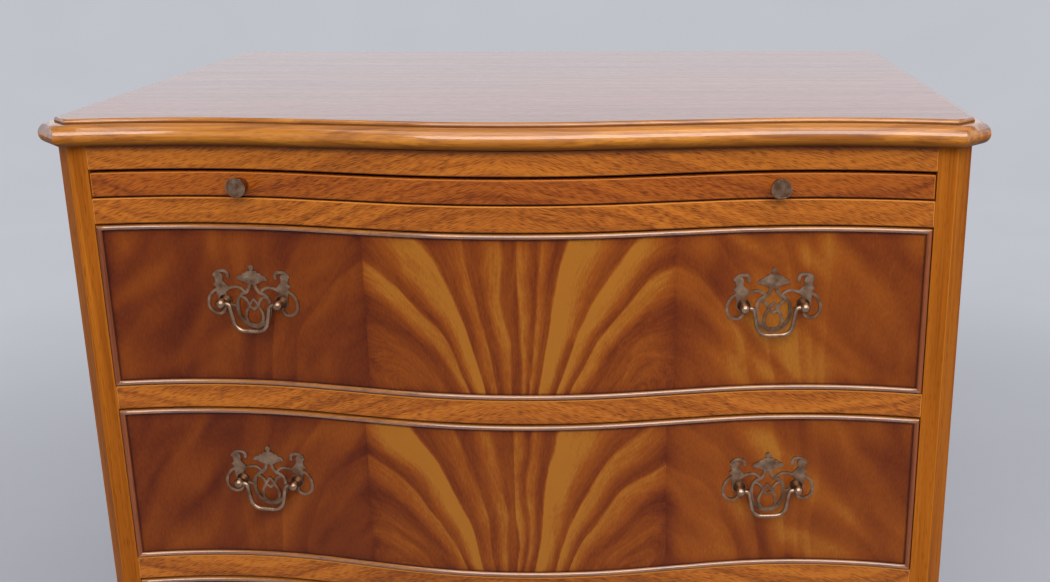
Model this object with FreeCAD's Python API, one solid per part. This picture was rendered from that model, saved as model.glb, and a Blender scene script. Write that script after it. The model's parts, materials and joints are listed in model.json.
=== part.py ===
import FreeCAD, Part
import math
import os

# Serpentine chest of four long drawers over bracket feet, with a brushing slide under the top.
# Frame: origin under the middle of the chest at floor level, front towards -Y, up is +Z, millimetres.

V = FreeCAD.Vector
UP = V(0, 0, 1)
BACKWARD = V(0, 1, 0)

# Heights, from the floor up
FOOT_H = 80.0
BASE_H = 20.0
BOTTOM_RAIL_H = 18.0
DRAWERS = 4
OPENING_H = 151.0
RAIL_H = 22.4
SLIDE_RAIL_H = 23.0
SLIDE_OPENING_H = 25.0
TOP_RAIL_H = 22.0
TOP_H = 22.5

# Plan of the carcass
OPENING_HALF = 360.0
POST_FACE = 16.0
CANT = 14.5
POST_DEPTH = 40.0
SIDE_T = 18.0
TOP_DEPTH = 525.0
TOP_BACK_LIP = 8.0
BACK_T = 12.0
BACK_REBATE = 10.0
BACK_BOARDS = 4
BOARD_GAP = 0.6

# Serpentine front: a convex crest arc, straight runs, and a hollow arc on each side
CREST_R = 600.0
HOLLOW_R = 515.0
HOLLOW_X = 270.0
CARCASS_RISE = 31.0
TOP_RISE = 25.0

# Moulded edge of the top, measured outwards from the carcass faces
TOP_FLAT_INSET = 2.5
TOP_BEAD_R = 3.0
TOP_QUIRK_H = 1.0
TOP_LEDGE = 3.0
TOP_OVOLO_R = 10.0
MOULDING_ROOT = 20.0
CORE_INSET = 12.0

# Base moulding and bracket feet
BASE_SEAT = 1.5
BASE_COVE_R = 5.5
BASE_ROOT = 14.0
FOOT_PROUD = 5.0
FOOT_LEG = 56.0
FOOT_SPLAY = 5.0
FOOT_SCROLL_Z = 20.0
FOOT_SCROLL_R = 24.0
FOOT_CUSP = 6.0
FOOT_SAG = 1 / 3
FOOT_TIP_H = 12.0
FOOT_SPAN = 132.0
BLOCK = 38.0
BLOCK_LIFT = 2.0
REAR_BRACKET_T = 18.0
REAR_BRACKET_SPAN = 100.0
REAR_BRACKET_TIP = 30.0

# Rails, runners and dustboards
RAIL_BACK = 55.0
TENON_L = 12.0
TENON_H = 13.0
TENON_FRONT = 14.0
TENON_BACK = 34.0
TONGUE_L = 8.0
TONGUE_T = 6.0
RUNNER_W = 45.0
GUIDE_H = 14.0
DUST_T = 8.0
DUST_GROOVE = 6.0
STOP_W = 36.0
STOP_D = 20.0
STOP_H = 6.0
STOP_GAP = 0.4

# Drawers
DRAWER_GAP = 1.0
FRONT_T = 20.0
SIDE_GAP = 0.4
DRAWER_SIDE_T = 10.0
SIDE_TOP_DROP = 4.0
BOX_BACK = 440.0
BOX_BACK_T = 9.0
BOTTOM_T = 7.0
BOTTOM_LIFT = 10.0
BOTTOM_GROOVE = 5.0
TAILS = 4
TAIL_LAP = 13.0
TAIL_FLARE = 2.6
TAIL_FILL = 0.62
SHOULDER_X = 345.0
BEAD_W = 4.5
BEAD_DEPTH = 6.0

# Brushing slide
SLIDE_T = 22.0
SLIDE_FLOOR_GAP = 0.5
SLIDE_BACK = 410.0
LIPPING_T = 18.0
LIPPING_LIFT = 0.8
CLAMP_W = 58.0
CLAMP_TONGUE = 10.0
CLAMP_TONGUE_T = 7.0
PEG_X = 250.0
PEG_Y = 330.0
PEG_R = 5.0
PEG_PROUD = 11.0
PEG_DEPTH = 14.0
KNOB_X = 230.0
KNOB_R = 8.7
KNOB_BASE_R = 6.3
KNOB_WAIST_R = 6.9
KNOB_L = 13.0
KNOB_RIM_H = 2.2
KNOB_RIM_W = 1.3
KNOB_DISH = 0.7
KNOB_PEG_R = 3.0
KNOB_PEG_L = 13.0

# Swan-neck handles: pierced plate, two ball-headed posts and a bail
HANDLE_X = 228.0
HANDLE_ABOVE_MIDDLE = 5.0
POST_SPACING = 52.0
PLATE_T = 1.6
PLATE_HALF_W = 46.0
PLATE_HALF_H = 40.0
BOSS_R = 6.2
FINIAL_R = 2.3
FINIAL_V = 31.0
FINIAL_NECK_R = 1.3
SHANK_R = 2.2
SHANK_HOLE_R = 2.4
COLLAR_R = 5.6
COLLAR_H = 3.2
COLLAR_FLARE_R = 3.8
COLLAR_FLARE_H = 2.24
NECK_R = 2.8
BALL_R = 4.6
PIVOT_W = 11.0
NUT_R = 6.0
NUT_H = 4.0
SHANK_PAST_NUT = 2.0
BAIL_R = 1.9
PIN_R = 1.45
PIN_HOLE_R = 1.5
PIN_REACH = 0.6
PIN_HOLE_REACH = 1.4
BAIL_SHOULDER = 0.5
BAIL_NECK_R = 3.0
BAIL_LEAN = 10.0
BAIL_DROP = 24.5
BAIL_CORNER_R = 10.0

# Length of a cut that is sure to pass right through the chest
FAR = 2000.0

# Derived places
CARCASS_HALF = OPENING_HALF + POST_FACE + CANT
NOSE = TOP_BEAD_R - TOP_FLAT_INSET + TOP_LEDGE + TOP_OVOLO_R
HOLLOW_SAG = HOLLOW_R - math.sqrt(HOLLOW_R ** 2 - (OPENING_HALF - HOLLOW_X) ** 2)
TAIL_ANGLE = math.asin((OPENING_HALF - HOLLOW_X) / HOLLOW_R)
FRONT = -TOP_DEPTH / 2 + NOSE + TOP_RISE - HOLLOW_SAG
TOP_BACK = TOP_DEPTH / 2
CARCASS_BACK = TOP_BACK - TOP_BACK_LIP
BACK_FACE = CARCASS_BACK - BACK_T
CARCASS_Z = FOOT_H + BASE_H
FLOOR_Z = CARCASS_Z + BOTTOM_RAIL_H
PITCH = OPENING_H + RAIL_H
SLIDE_Z = FLOOR_Z + DRAWERS * PITCH - RAIL_H + SLIDE_RAIL_H
TOP_RAIL_Z = SLIDE_Z + SLIDE_OPENING_H
TOP_Z = TOP_RAIL_Z + TOP_RAIL_H
SIDE_FACE = CARCASS_HALF - SIDE_T
DRAWER_HALF = OPENING_HALF - DRAWER_GAP


def drawer_floor(number):
    """Height of the bottom of a drawer's opening; drawer 1 is the top one."""
    return FLOOR_Z + (DRAWERS - number) * PITCH


def box(x0, x1, y0, y1, z0, z1):
    return Part.makeBox(x1 - x0, y1 - y0, z1 - z0, V(x0, y0, z0))


def mirrored(shape):
    return shape.mirror(V(0, 0, 0), V(1, 0, 0))


def flipped(point):
    return V(-point.x, point.y, point.z)


def both_sides(shape):
    """A right-hand piece with its left-hand twin."""
    return [mirrored(shape), shape]


def group(shapes):
    return Part.makeCompound(shapes)


def joined(shapes):
    """One solid from lengths that meet face to face or overlap."""
    return shapes[0].multiFuse(shapes[1:]).removeSplitter()


# Paths: a start point and steps, where a step is a point for a line or [middle, end] for an arc


def path_edges(start, steps, place):
    edges = []
    last = start
    for step in steps:
        if isinstance(step, list):
            middle, end = step
            edges.append(Part.Arc(place(last), place(middle), place(end)).toShape())
        else:
            end = step
            edges.append(Part.LineSegment(place(last), place(end)).toShape())
        last = end
    return edges


def closed_face(start, steps, place):
    return Part.Face(Part.Wire(path_edges(start, steps + [start], place)))


def plan_face(start, steps, z):
    return closed_face(start, steps, lambda point: V(point.x, point.y, z))


def arc_step(centre, radius, begin, end):
    """Arc step from one angle to another, in degrees anticlockwise from the first axis."""
    half = math.radians((begin + end) / 2)
    last = math.radians(end)
    middle = (centre[0] + radius * math.cos(half), centre[1] + radius * math.sin(half))
    finish = (centre[0] + radius * math.cos(last), centre[1] + radius * math.sin(last))
    return [middle, finish]


def reversed_path(start, steps):
    """The same path walked from its far end."""
    points = [start]
    for step in steps:
        points.append(step[1] if isinstance(step, list) else step)
    back = []
    for index in range(len(steps) - 1, -1, -1):
        step = steps[index]
        back.append([step[0], points[index]] if isinstance(step, list) else points[index])
    return points[-1], back


def sweep(start, steps, section, axis):
    """A section carried along lines and tangent arcs in one plane, as prisms and turned lengths."""
    lengths = []
    here = start
    for step in steps:
        if isinstance(step, list):
            middle, end = step
            centre = Part.Arc(here, middle, end).toShape().Curve.Center
            spoke = here - centre
            side = math.copysign(1, axis.dot(spoke.cross(middle - centre)))
            heading = (axis.cross(spoke) * side).normalize()
            angle = math.degrees(spoke.getAngle(end - centre))
            lengths.append(section(here, heading).revolve(centre, axis * side, angle))
        else:
            end = step
            lengths.append(section(here, (end - here).normalize()).extrude(end - here))
        here = end
    return joined(lengths)


def profile_face(profile, start, heading):
    """An (out, up) profile as a face square to a level path, at one point of the path."""
    out = V(heading.y, -heading.x, 0)
    first, steps = profile
    return closed_face(first, steps, lambda point: start + out * point[0] + UP * point[1])


def cut_beyond(shape, point, direction):
    """Cuts off what lies past an upright plane through a point, on the side of the direction."""
    block = Part.makeBox(FAR, 2 * FAR, 2 * FAR, V(0, -FAR, -FAR))
    block.rotate(V(0, 0, 0), UP, math.degrees(math.atan2(direction.y, direction.x)))
    block.translate(point)
    return shape.cut(block)


class Serpentine:
    """The front line in plan for one rise, moved outwards (towards -Y) by any offset."""

    def __init__(self, rise):
        self.crest = V(0, FRONT + HOLLOW_SAG - rise + CREST_R, 0)
        self.hollow = V(HOLLOW_X, FRONT + HOLLOW_SAG - HOLLOW_R, 0)
        across = self.hollow - self.crest
        turn = math.atan2(across.y, across.x) + math.asin((CREST_R + HOLLOW_R) / across.Length)
        self.normal = V(math.sin(turn), -math.cos(turn), 0)

    def y_at(self, x, offset=0.0):
        """Depth of the line at x, for places on the hollow arcs."""
        return self.hollow.y + math.sqrt((HOLLOW_R - offset) ** 2 - (abs(x) - HOLLOW_X) ** 2)

    def path(self, offset, stop, tail=None):
        """Path from left to right that leaves the hollow arc at a stop, with a straight tail."""
        crest_end = self.crest + self.normal * (CREST_R + offset)
        crest_top = V(0, self.crest.y - CREST_R - offset, 0)
        hollow_start = self.hollow - self.normal * (HOLLOW_R - offset)
        bottom = V(HOLLOW_X, self.hollow.y + HOLLOW_R - offset, 0)
        steps = [[flipped(bottom), flipped(hollow_start)], flipped(crest_end), [crest_top, crest_end],
                 hollow_start, [bottom, stop]]
        if tail:
            return flipped(tail), [flipped(stop)] + steps + [tail]
        return flipped(stop), steps

    def cut_path(self, offset, half):
        """Path from left to right, cut off square at x = -half and x = +half."""
        return self.path(offset, V(half, self.y_at(half, offset), 0))

    def arc_end(self, offset):
        """Where the hollow arc gives way to the straight tail, on the right-hand side."""
        return self.hollow + V(math.sin(TAIL_ANGLE), math.cos(TAIL_ANGLE), 0) * (HOLLOW_R - offset)

    def heading_at(self, x):
        """Direction of the line at x on the right-hand hollow arc, and the way out of the front."""
        slope = math.asin((HOLLOW_X - x) / HOLLOW_R)
        return V(math.cos(slope), math.sin(slope), 0), V(math.sin(slope), -math.cos(slope), 0)

    def curved_board(self, outer, inner, half, z0, height):
        """A board with both faces parallel to the front."""
        start, steps = self.cut_path(outer, half)
        back_start, back_steps = reversed_path(*self.cut_path(inner, half))
        return plan_face(start, steps + [back_start] + back_steps, z0).extrude(UP * height)

    def straight_back_board(self, outer, back_y, half, z0, height):
        """A board with a serpentine front and a straight back."""
        start, steps = self.cut_path(outer, half)
        return plan_face(start, steps + [V(half, back_y, 0), V(-half, back_y, 0)], z0).extrude(UP * height)


class Outline:
    """Sides, canted corners and front of the chest in plan, and the mitres between them."""

    def __init__(self, line):
        self.line = line
        self.tail = V(math.cos(TAIL_ANGLE), -math.sin(TAIL_ANGLE), 0)
        self.cant = V(1, 1, 0).normalize()
        start = line.arc_end(0)
        gap = V(OPENING_HALF + POST_FACE, FRONT, 0) - start
        along = gap.cross(self.cant).z / self.tail.cross(self.cant).z
        self.front_corner = start + self.tail * along
        self.side_corner = V(CARCASS_HALF, FRONT + CANT, 0)

    @staticmethod
    def moved(corner, before, after, offset):
        """A corner moved outwards by an offset along its mitre."""
        first = V(before.y, -before.x, 0)
        second = V(after.y, -after.x, 0)
        return corner + (first + second) * (offset / (1 + first.dot(second)))

    def face(self, offset, back_y, z):
        """The whole plan, moved outwards by an offset and cut off straight at the back."""
        front = self.moved(self.front_corner, self.tail, self.cant, offset)
        side = self.moved(self.side_corner, self.cant, BACKWARD, offset)
        back = V(side.x, back_y, 0)
        start, steps = self.line.path(offset, self.line.arc_end(offset), front)
        return plan_face(start, steps + [side, back, flipped(back), flipped(side)], z)

    def front_strip(self, profile, z):
        """A profile carried along the front and mitred at both canted corners."""
        end = self.front_corner + self.tail * MOULDING_ROOT
        start, steps = self.line.path(0, self.line.arc_end(0), end)
        strip = sweep(start, steps, lambda point, heading: profile_face(profile, point, heading), UP)
        mitre = self.tail + self.cant
        strip = cut_beyond(strip, self.front_corner, mitre)
        strip = cut_beyond(strip, flipped(self.front_corner), flipped(mitre))
        strip.translate(UP * z)
        return strip

    def cant_strip(self, profile, z):
        """The short mitred length across the right-hand canted corner."""
        start = self.front_corner - self.cant * MOULDING_ROOT
        end = self.side_corner + self.cant * MOULDING_ROOT
        strip = profile_face(profile, start, self.cant).extrude(end - start)
        strip = cut_beyond(strip, self.front_corner, (self.tail + self.cant) * -1)
        strip = cut_beyond(strip, self.side_corner, self.cant + BACKWARD)
        strip.translate(UP * z)
        return strip

    def side_strip(self, profile, z, back_y):
        """The straight length along the right-hand side, mitred at its front end."""
        start = self.side_corner - BACKWARD * MOULDING_ROOT
        strip = profile_face(profile, start, BACKWARD).extrude(BACKWARD * (back_y - start.y))
        strip = cut_beyond(strip, self.side_corner, (self.cant + BACKWARD) * -1)
        strip.translate(UP * z)
        return strip


CARCASS = Serpentine(CARCASS_RISE)
TOP = Serpentine(TOP_RISE)


def top_profile():
    """Bead, quirk and ledge over a bold ovolo that turns back under the edge."""
    lower_r = TOP_H - TOP_BEAD_R - TOP_QUIRK_H - TOP_OVOLO_R
    flat = -TOP_FLAT_INSET
    step = flat + TOP_BEAD_R
    ledge = -TOP_BEAD_R - TOP_QUIRK_H
    ovolo = (step + TOP_LEDGE, ledge - TOP_OVOLO_R)
    steps = [(flat, 0.0),
             arc_step((flat, -TOP_BEAD_R), TOP_BEAD_R, 90, 0),
             (step, ledge),
             (step + TOP_LEDGE, ledge),
             arc_step(ovolo, TOP_OVOLO_R, 90, 0),
             arc_step((NOSE - lower_r, ovolo[1]), lower_r, 0, -90),
             (-MOULDING_ROOT, -TOP_H)]
    return ((-MOULDING_ROOT, 0.0), steps)


def base_profile():
    """Seat, cove and square fillet of the moulding that the carcass stands on."""
    cove = (BASE_SEAT + BASE_COVE_R, -BASE_SEAT)
    steps = [(BASE_SEAT, 0.0),
             (BASE_SEAT, -BASE_SEAT),
             arc_step(cove, BASE_COVE_R, 180, 270),
             (cove[0], -BASE_H),
             (-BASE_ROOT, -BASE_H)]
    return ((-BASE_ROOT, 0.0), steps)


def make_top():
    """Top board with its moulded edge on the front, the canted corners and the sides."""
    outline = Outline(TOP)
    profile = top_profile()
    z = TOP_Z + TOP_H
    core = outline.face(-CORE_INSET, TOP_BACK, TOP_Z).extrude(UP * TOP_H)
    cants = both_sides(outline.cant_strip(profile, z))
    sides = both_sides(outline.side_strip(profile, z, TOP_BACK))
    return joined([core, outline.front_strip(profile, z)] + cants + sides)


def make_base_moulding():
    """Mitred lengths of moulding under the carcass, with a plain rail across the back."""
    outline = Outline(CARCASS)
    profile = base_profile()
    cants = both_sides(outline.cant_strip(profile, CARCASS_Z))
    sides = both_sides(outline.side_strip(profile, CARCASS_Z, CARCASS_BACK))
    inner = CARCASS_HALF - BASE_ROOT
    rear = box(-inner, inner, CARCASS_BACK - BASE_ROOT, CARCASS_BACK, FOOT_H, CARCASS_Z)
    return [outline.front_strip(profile, CARCASS_Z), rear] + cants + sides


def bracket_cutter(place, depth):
    """What is sawn away under a bracket: splayed leg, scroll, cusp and a long curve up to the tip."""
    scroll = (FOOT_LEG + FOOT_SPLAY + FOOT_SCROLL_R, FOOT_SCROLL_Z)
    cusp = (scroll[0] + FOOT_CUSP, FOOT_SCROLL_Z + FOOT_SCROLL_R)
    tip = (FOOT_SPAN, FOOT_H - FOOT_TIP_H)
    sag = ((cusp[0] + tip[0]) / 2, cusp[1] + (tip[1] - cusp[1]) * FOOT_SAG)
    clear = FOOT_SPAN + BLOCK
    steps = [(FOOT_LEG + FOOT_SPLAY, FOOT_SCROLL_Z),
             arc_step(scroll, FOOT_SCROLL_R, 180, 90),
             cusp,
             [sag, tip],
             (clear, tip[1]),
             (clear, -FOOT_SPLAY),
             (FOOT_LEG, -FOOT_SPLAY)]
    return closed_face((FOOT_LEG, 0.0), steps, place).extrude(depth)


def make_front_foot():
    """Right-hand front foot: serpentine front bracket, canted corner and side bracket, mitred."""
    outline = Outline(CARCASS)
    profile = ((-BASE_ROOT, 0.0), [(FOOT_PROUD, 0.0), (FOOT_PROUD, -FOOT_H), (-BASE_ROOT, -FOOT_H)])
    corner = outline.front_corner
    front = outline.front_strip(profile, FOOT_H).common(box(corner.x - FOOT_SPAN, FAR, -FAR, FAR, 0, FOOT_H))
    front = front.cut(bracket_cutter(lambda point: V(corner.x - point[0], -FAR, point[1]), BACKWARD * 2 * FAR))
    cant = outline.cant_strip(profile, FOOT_H)
    rear = outline.side_corner.y
    side = outline.side_strip(profile, FOOT_H, rear + FOOT_SPAN)
    side = side.cut(bracket_cutter(lambda point: V(-FAR, rear + point[0], point[1]), V(2 * FAR, 0, 0)))
    return [shape.Solids[0] for shape in (front, cant, side)]


def make_rear_foot():
    """Right-hand rear foot: side bracket and a plain raked bracket along the back."""
    outer = CARCASS_HALF + FOOT_PROUD
    inner = CARCASS_HALF - BASE_ROOT
    side = box(inner, outer, CARCASS_BACK - FOOT_SPAN, CARCASS_BACK, 0, FOOT_H)
    side = side.cut(bracket_cutter(lambda point: V(-FAR, CARCASS_BACK - point[0], point[1]), V(2 * FAR, 0, 0)))
    tip = inner - REAR_BRACKET_SPAN
    rake = [(inner, FOOT_H), (tip, FOOT_H), (tip, FOOT_H - REAR_BRACKET_TIP), (inner - BLOCK, 0.0)]
    place = lambda point: V(point[0], CARCASS_BACK - REAR_BRACKET_T, point[1])
    rear = closed_face((inner, 0.0), rake, place).extrude(BACKWARD * REAR_BRACKET_T)
    return [side.Solids[0], rear]


def make_foot_blocks():
    """Glue blocks in the corners behind the brackets, clear of the floor."""
    inner = CARCASS_HALF - BASE_ROOT
    blocks = []
    for y in (FRONT + CANT + BASE_ROOT, CARCASS_BACK - REAR_BRACKET_T - BLOCK):
        blocks += both_sides(box(inner - BLOCK, inner, y, y + BLOCK, BLOCK_LIFT, FOOT_H))
    return blocks


def rail_levels():
    """Name, lowest level and height of each front rail, from the top down."""
    rails = [("top_rail", TOP_RAIL_Z, TOP_RAIL_H), ("slide_rail", SLIDE_Z - SLIDE_RAIL_H, SLIDE_RAIL_H)]
    for number in range(1, DRAWERS):
        rails.append((f"drawer_rail_{number}", drawer_floor(number) - RAIL_H, RAIL_H))
    rails.append(("bottom_rail", CARCASS_Z, BOTTOM_RAIL_H))
    return rails


def rail_tenon(z0, height):
    middle = z0 + height / 2
    return box(OPENING_HALF, OPENING_HALF + TENON_L, FRONT + TENON_FRONT, FRONT + TENON_BACK,
               middle - TENON_H / 2, middle + TENON_H / 2)


def make_rail(z0, height):
    """Serpentine rail with a stub tenon at each end."""
    rail = CARCASS.straight_back_board(0, FRONT + RAIL_BACK, OPENING_HALF, z0, height)
    return joined([rail] + both_sides(rail_tenon(z0, height)))


def make_side():
    """Right-hand side: tongued into the post and rebated for the back boards."""
    front = FRONT + POST_DEPTH
    side = box(SIDE_FACE, CARCASS_HALF, front, CARCASS_BACK, CARCASS_Z, TOP_Z)
    middle = CARCASS_HALF - SIDE_T / 2
    tongue = box(middle - TONGUE_T / 2, middle + TONGUE_T / 2, front - TONGUE_L, front, CARCASS_Z, TOP_Z)
    rebate = box(SIDE_FACE, SIDE_FACE + BACK_REBATE, BACK_FACE, CARCASS_BACK, CARCASS_Z, TOP_Z)
    return joined([side, tongue]).cut(rebate)


def make_post(side):
    """Right-hand canted corner post, mortised for the rails and grooved for the side."""
    back = FRONT + POST_DEPTH
    steps = [V(OPENING_HALF + POST_FACE, FRONT, 0), V(CARCASS_HALF, FRONT + CANT, 0),
             V(CARCASS_HALF, back, 0), V(OPENING_HALF, back, 0)]
    post = plan_face(V(OPENING_HALF, FRONT, 0), steps, CARCASS_Z).extrude(UP * (TOP_Z - CARCASS_Z))
    tenons = [rail_tenon(z0, height) for _, z0, height in rail_levels()]
    return post.cut(group(tenons + [side]))


def make_back_boards():
    """Upright boards that fill the rebates, with a hairline gap between them."""
    half = SIDE_FACE + BACK_REBATE
    width = (2 * half - (BACK_BOARDS - 1) * BOARD_GAP) / BACK_BOARDS
    boards = []
    for index in range(BACK_BOARDS):
        x = -half + index * (width + BOARD_GAP)
        boards.append(box(x, x + width, BACK_FACE, CARCASS_BACK, CARCASS_Z, TOP_Z))
    return boards


def runner_levels():
    """Top level and thickness of each runner: under the slide and under all drawers but the last."""
    return [(SLIDE_Z, SLIDE_RAIL_H)] + [(drawer_floor(number), RAIL_H) for number in range(1, DRAWERS)]


def make_dustboard(level, thickness):
    middle = level - thickness / 2
    half = SIDE_FACE - RUNNER_W + DUST_GROOVE
    return box(-half, half, FRONT + RAIL_BACK - DUST_GROOVE, BACK_FACE,
               middle - DUST_T / 2, middle + DUST_T / 2)


def make_runners(dustboards):
    """Grooved runners behind the rails, and the guides that stand on them beside the drawers."""
    front = FRONT + RAIL_BACK
    pieces = []
    for level, thickness in runner_levels():
        runner = box(SIDE_FACE - RUNNER_W, SIDE_FACE, front, BACK_FACE, level - thickness, level)
        pieces += both_sides(runner.cut(group(dustboards)))
    guides = [(SLIDE_Z, SLIDE_OPENING_H)]
    guides += [(drawer_floor(number), GUIDE_H) for number in range(1, DRAWERS + 1)]
    for level, height in guides:
        pieces += both_sides(box(OPENING_HALF, SIDE_FACE, front, BACK_FACE, level, level + height))
    return pieces


def make_kickers():
    """Strips under the top that keep the pulled-out slide from tipping."""
    return both_sides(box(SIDE_FACE - RUNNER_W, SIDE_FACE, FRONT + RAIL_BACK, BACK_FACE, TOP_RAIL_Z, TOP_Z))


def make_stops():
    """Blocks on the rails that the drawer fronts close against, in the hollows."""
    y = CARCASS.y_at(HOLLOW_X, -FRONT_T) + STOP_GAP
    stops = []
    for number in range(1, DRAWERS + 1):
        level = drawer_floor(number)
        stop = box(HOLLOW_X - STOP_W / 2, HOLLOW_X + STOP_W / 2, y, y + STOP_D, level, level + STOP_H)
        stops += both_sides(stop)
    return stops


def carcass_pieces():
    dustboards = [make_dustboard(level, thickness) for level, thickness in runner_levels()]
    side = make_side()
    pieces = {"top": [make_top()],
              "back_boards": make_back_boards(),
              "bottom_board": [box(-SIDE_FACE, SIDE_FACE, FRONT + RAIL_BACK, BACK_FACE, CARCASS_Z, FLOOR_Z)],
              "dustboards": dustboards,
              "drawer_runners": make_runners(dustboards),
              "slide_kickers": make_kickers(),
              "drawer_stops": make_stops(),
              "base_moulding": make_base_moulding(),
              "foot_blocks": make_foot_blocks()}
    paired = {"side": [side], "corner_post": [make_post(side)],
              "foot_front": make_front_foot(), "foot_rear": make_rear_foot()}
    for name, solids in paired.items():
        pieces[f"{name}_right"] = solids
        pieces[f"{name}_left"] = [mirrored(solid) for solid in solids]
    for name, z0, height in rail_levels():
        pieces[name] = [make_rail(z0, height).cut(group(dustboards))]
    return pieces


def bead_profile():
    """Half-round nose on a square strip, with its height upwards from zero."""
    nose_r = BEAD_W / 2
    return ((-BEAD_DEPTH, 0.0), [(0.0, 0.0), arc_step((0.0, nose_r), nose_r, -90, 90), (-BEAD_DEPTH, BEAD_W)])


def cross_zone(edge_z, rising):
    """All of a cross bead's room: a long prism whose ends are the 45 degree mitres."""
    reach = DRAWER_HALF + BEAD_W
    near = DRAWER_HALF - BEAD_W
    steps = [(reach, edge_z + rising * BEAD_W), (near, edge_z - rising * BEAD_W),
             (-near, edge_z - rising * BEAD_W)]
    place = lambda point: V(point[0], -FAR, point[1])
    return closed_face((-reach, edge_z + rising * BEAD_W), steps, place).extrude(BACKWARD * 2 * FAR)


def cross_bead(z0):
    """Bead along the whole front, a little too long at both ends."""
    start, steps = CARCASS.cut_path(0, DRAWER_HALF + BEAD_DEPTH)
    bead = sweep(start, steps, lambda point, heading: profile_face(bead_profile(), point, heading), UP)
    bead.translate(UP * z0)
    return bead


def end_bead(z0, z1):
    """Upright bead at the right-hand end of a drawer front, with a half-round nose."""
    middle = DRAWER_HALF - BEAD_W / 2
    strip = CARCASS.curved_board(0, -BEAD_DEPTH, DRAWER_HALF, z0, z1 - z0)
    strip = strip.common(box(DRAWER_HALF - BEAD_W, DRAWER_HALF, -FAR, FAR, z0, z1))
    nose = Part.makeCylinder(BEAD_W / 2, z1 - z0, V(middle, CARCASS.y_at(middle), z0))
    return joined([strip, nose])


def make_cockbead(z0, z1):
    """Four mitred beads round a drawer front: top, bottom and both ends."""
    upper_zone = cross_zone(z1, 1)
    lower_zone = cross_zone(z0, -1)
    upper = cross_bead(z1 - BEAD_W).common(upper_zone)
    lower = cross_bead(z0).common(lower_zone)
    end = end_bead(z0, z1).cut(group([upper_zone, lower_zone]))
    return [bead.Solids[0] for bead in [upper, lower] + both_sides(end)]


def bead_rebate(z0, z1):
    """What is cut out of a drawer front to take the beads."""
    ring = CARCASS.curved_board(BEAD_W, -BEAD_DEPTH, DRAWER_HALF + DRAWER_GAP, z0 - BEAD_W, z1 - z0 + 2 * BEAD_W)
    field = DRAWER_HALF - BEAD_W
    return ring.cut(box(-field, field, -FAR, FAR, z0 + BEAD_W, z1 - BEAD_W))


def front_blank(z0, z1):
    """Serpentine drawer front of even thickness, squared up inside for the drawer sides."""
    shoulder = CARCASS.y_at(SHOULDER_X, -FRONT_T)
    start, steps = CARCASS.cut_path(0, DRAWER_HALF)
    inner_start, inner_steps = reversed_path(*CARCASS.cut_path(-FRONT_T, SHOULDER_X))
    steps += [V(DRAWER_HALF, shoulder, 0), inner_start] + inner_steps + [V(-DRAWER_HALF, shoulder, 0)]
    return plan_face(start, steps, z0).extrude(UP * (z1 - z0))


def tail_corners(y, length, middle, root):
    """The four corners of one dovetail, from below to above."""
    flared = root + TAIL_FLARE
    return [(y, middle - root), (y + length, middle - flared), (y + length, middle + flared), (y, middle + root)]


def dovetailed_side(z0, z1):
    """Right-hand drawer side as one outline, with tails at the back and lapped tails at the front."""
    shoulder = CARCASS.y_at(SHOULDER_X, -FRONT_T)
    rear = FRONT + BOX_BACK - BOX_BACK_T
    pitch = (z1 - z0) / TAILS
    root = pitch * TAIL_FILL / 2
    middles = [z0 + (index + 0.5) * pitch for index in range(TAILS)]
    steps = []
    for middle in middles:
        steps += tail_corners(rear, BOX_BACK_T, middle, root)
    steps += [(rear, z1), (shoulder, z1)]
    for middle in reversed(middles):
        steps += tail_corners(shoulder, -TAIL_LAP, middle, root)[::-1]
    steps += [(shoulder, z0)]
    place = lambda point: V(DRAWER_HALF - DRAWER_SIDE_T, point[0], point[1])
    return closed_face((rear, z0), steps, place).extrude(V(DRAWER_SIDE_T, 0, 0))


def drawer_pieces(number):
    """The wooden pieces of one drawer, and its brasses, by name."""
    floor = drawer_floor(number)
    low = floor + DRAWER_GAP
    high = floor + OPENING_H - DRAWER_GAP
    side_low = floor + SIDE_GAP
    side_high = high - SIDE_TOP_DROP
    bottom_z = side_low + BOTTOM_LIFT
    rear = FRONT + BOX_BACK
    bottom_half = DRAWER_HALF - DRAWER_SIDE_T + BOTTOM_GROOVE
    bottom = CARCASS.straight_back_board(BOTTOM_GROOVE - FRONT_T, rear, bottom_half, bottom_z, BOTTOM_T)
    sides = both_sides(dovetailed_side(side_low, side_high))
    back = box(-DRAWER_HALF, DRAWER_HALF, rear - BOX_BACK_T, rear, bottom_z + BOTTOM_T, side_high)
    handle = Handle(floor + OPENING_H / 2 + HANDLE_ABOVE_MIDDLE)
    front = front_blank(low, high).cut(group([bead_rebate(low, high), bottom] + sides))
    front = front.cut(group(both_sides(handle.shank_holes())))
    bail = handle.bail()
    return {"front": [front],
            "cockbead": make_cockbead(low, high),
            "box": [side.cut(bottom) for side in sides] + [back.cut(group(sides))],
            "bottom": [bottom],
            "backplates": both_sides(handle.plate()),
            "handle_posts": both_sides(handle.posts()),
            "bail_left": [mirrored(bail)],
            "bail_right": [bail]}


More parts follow.
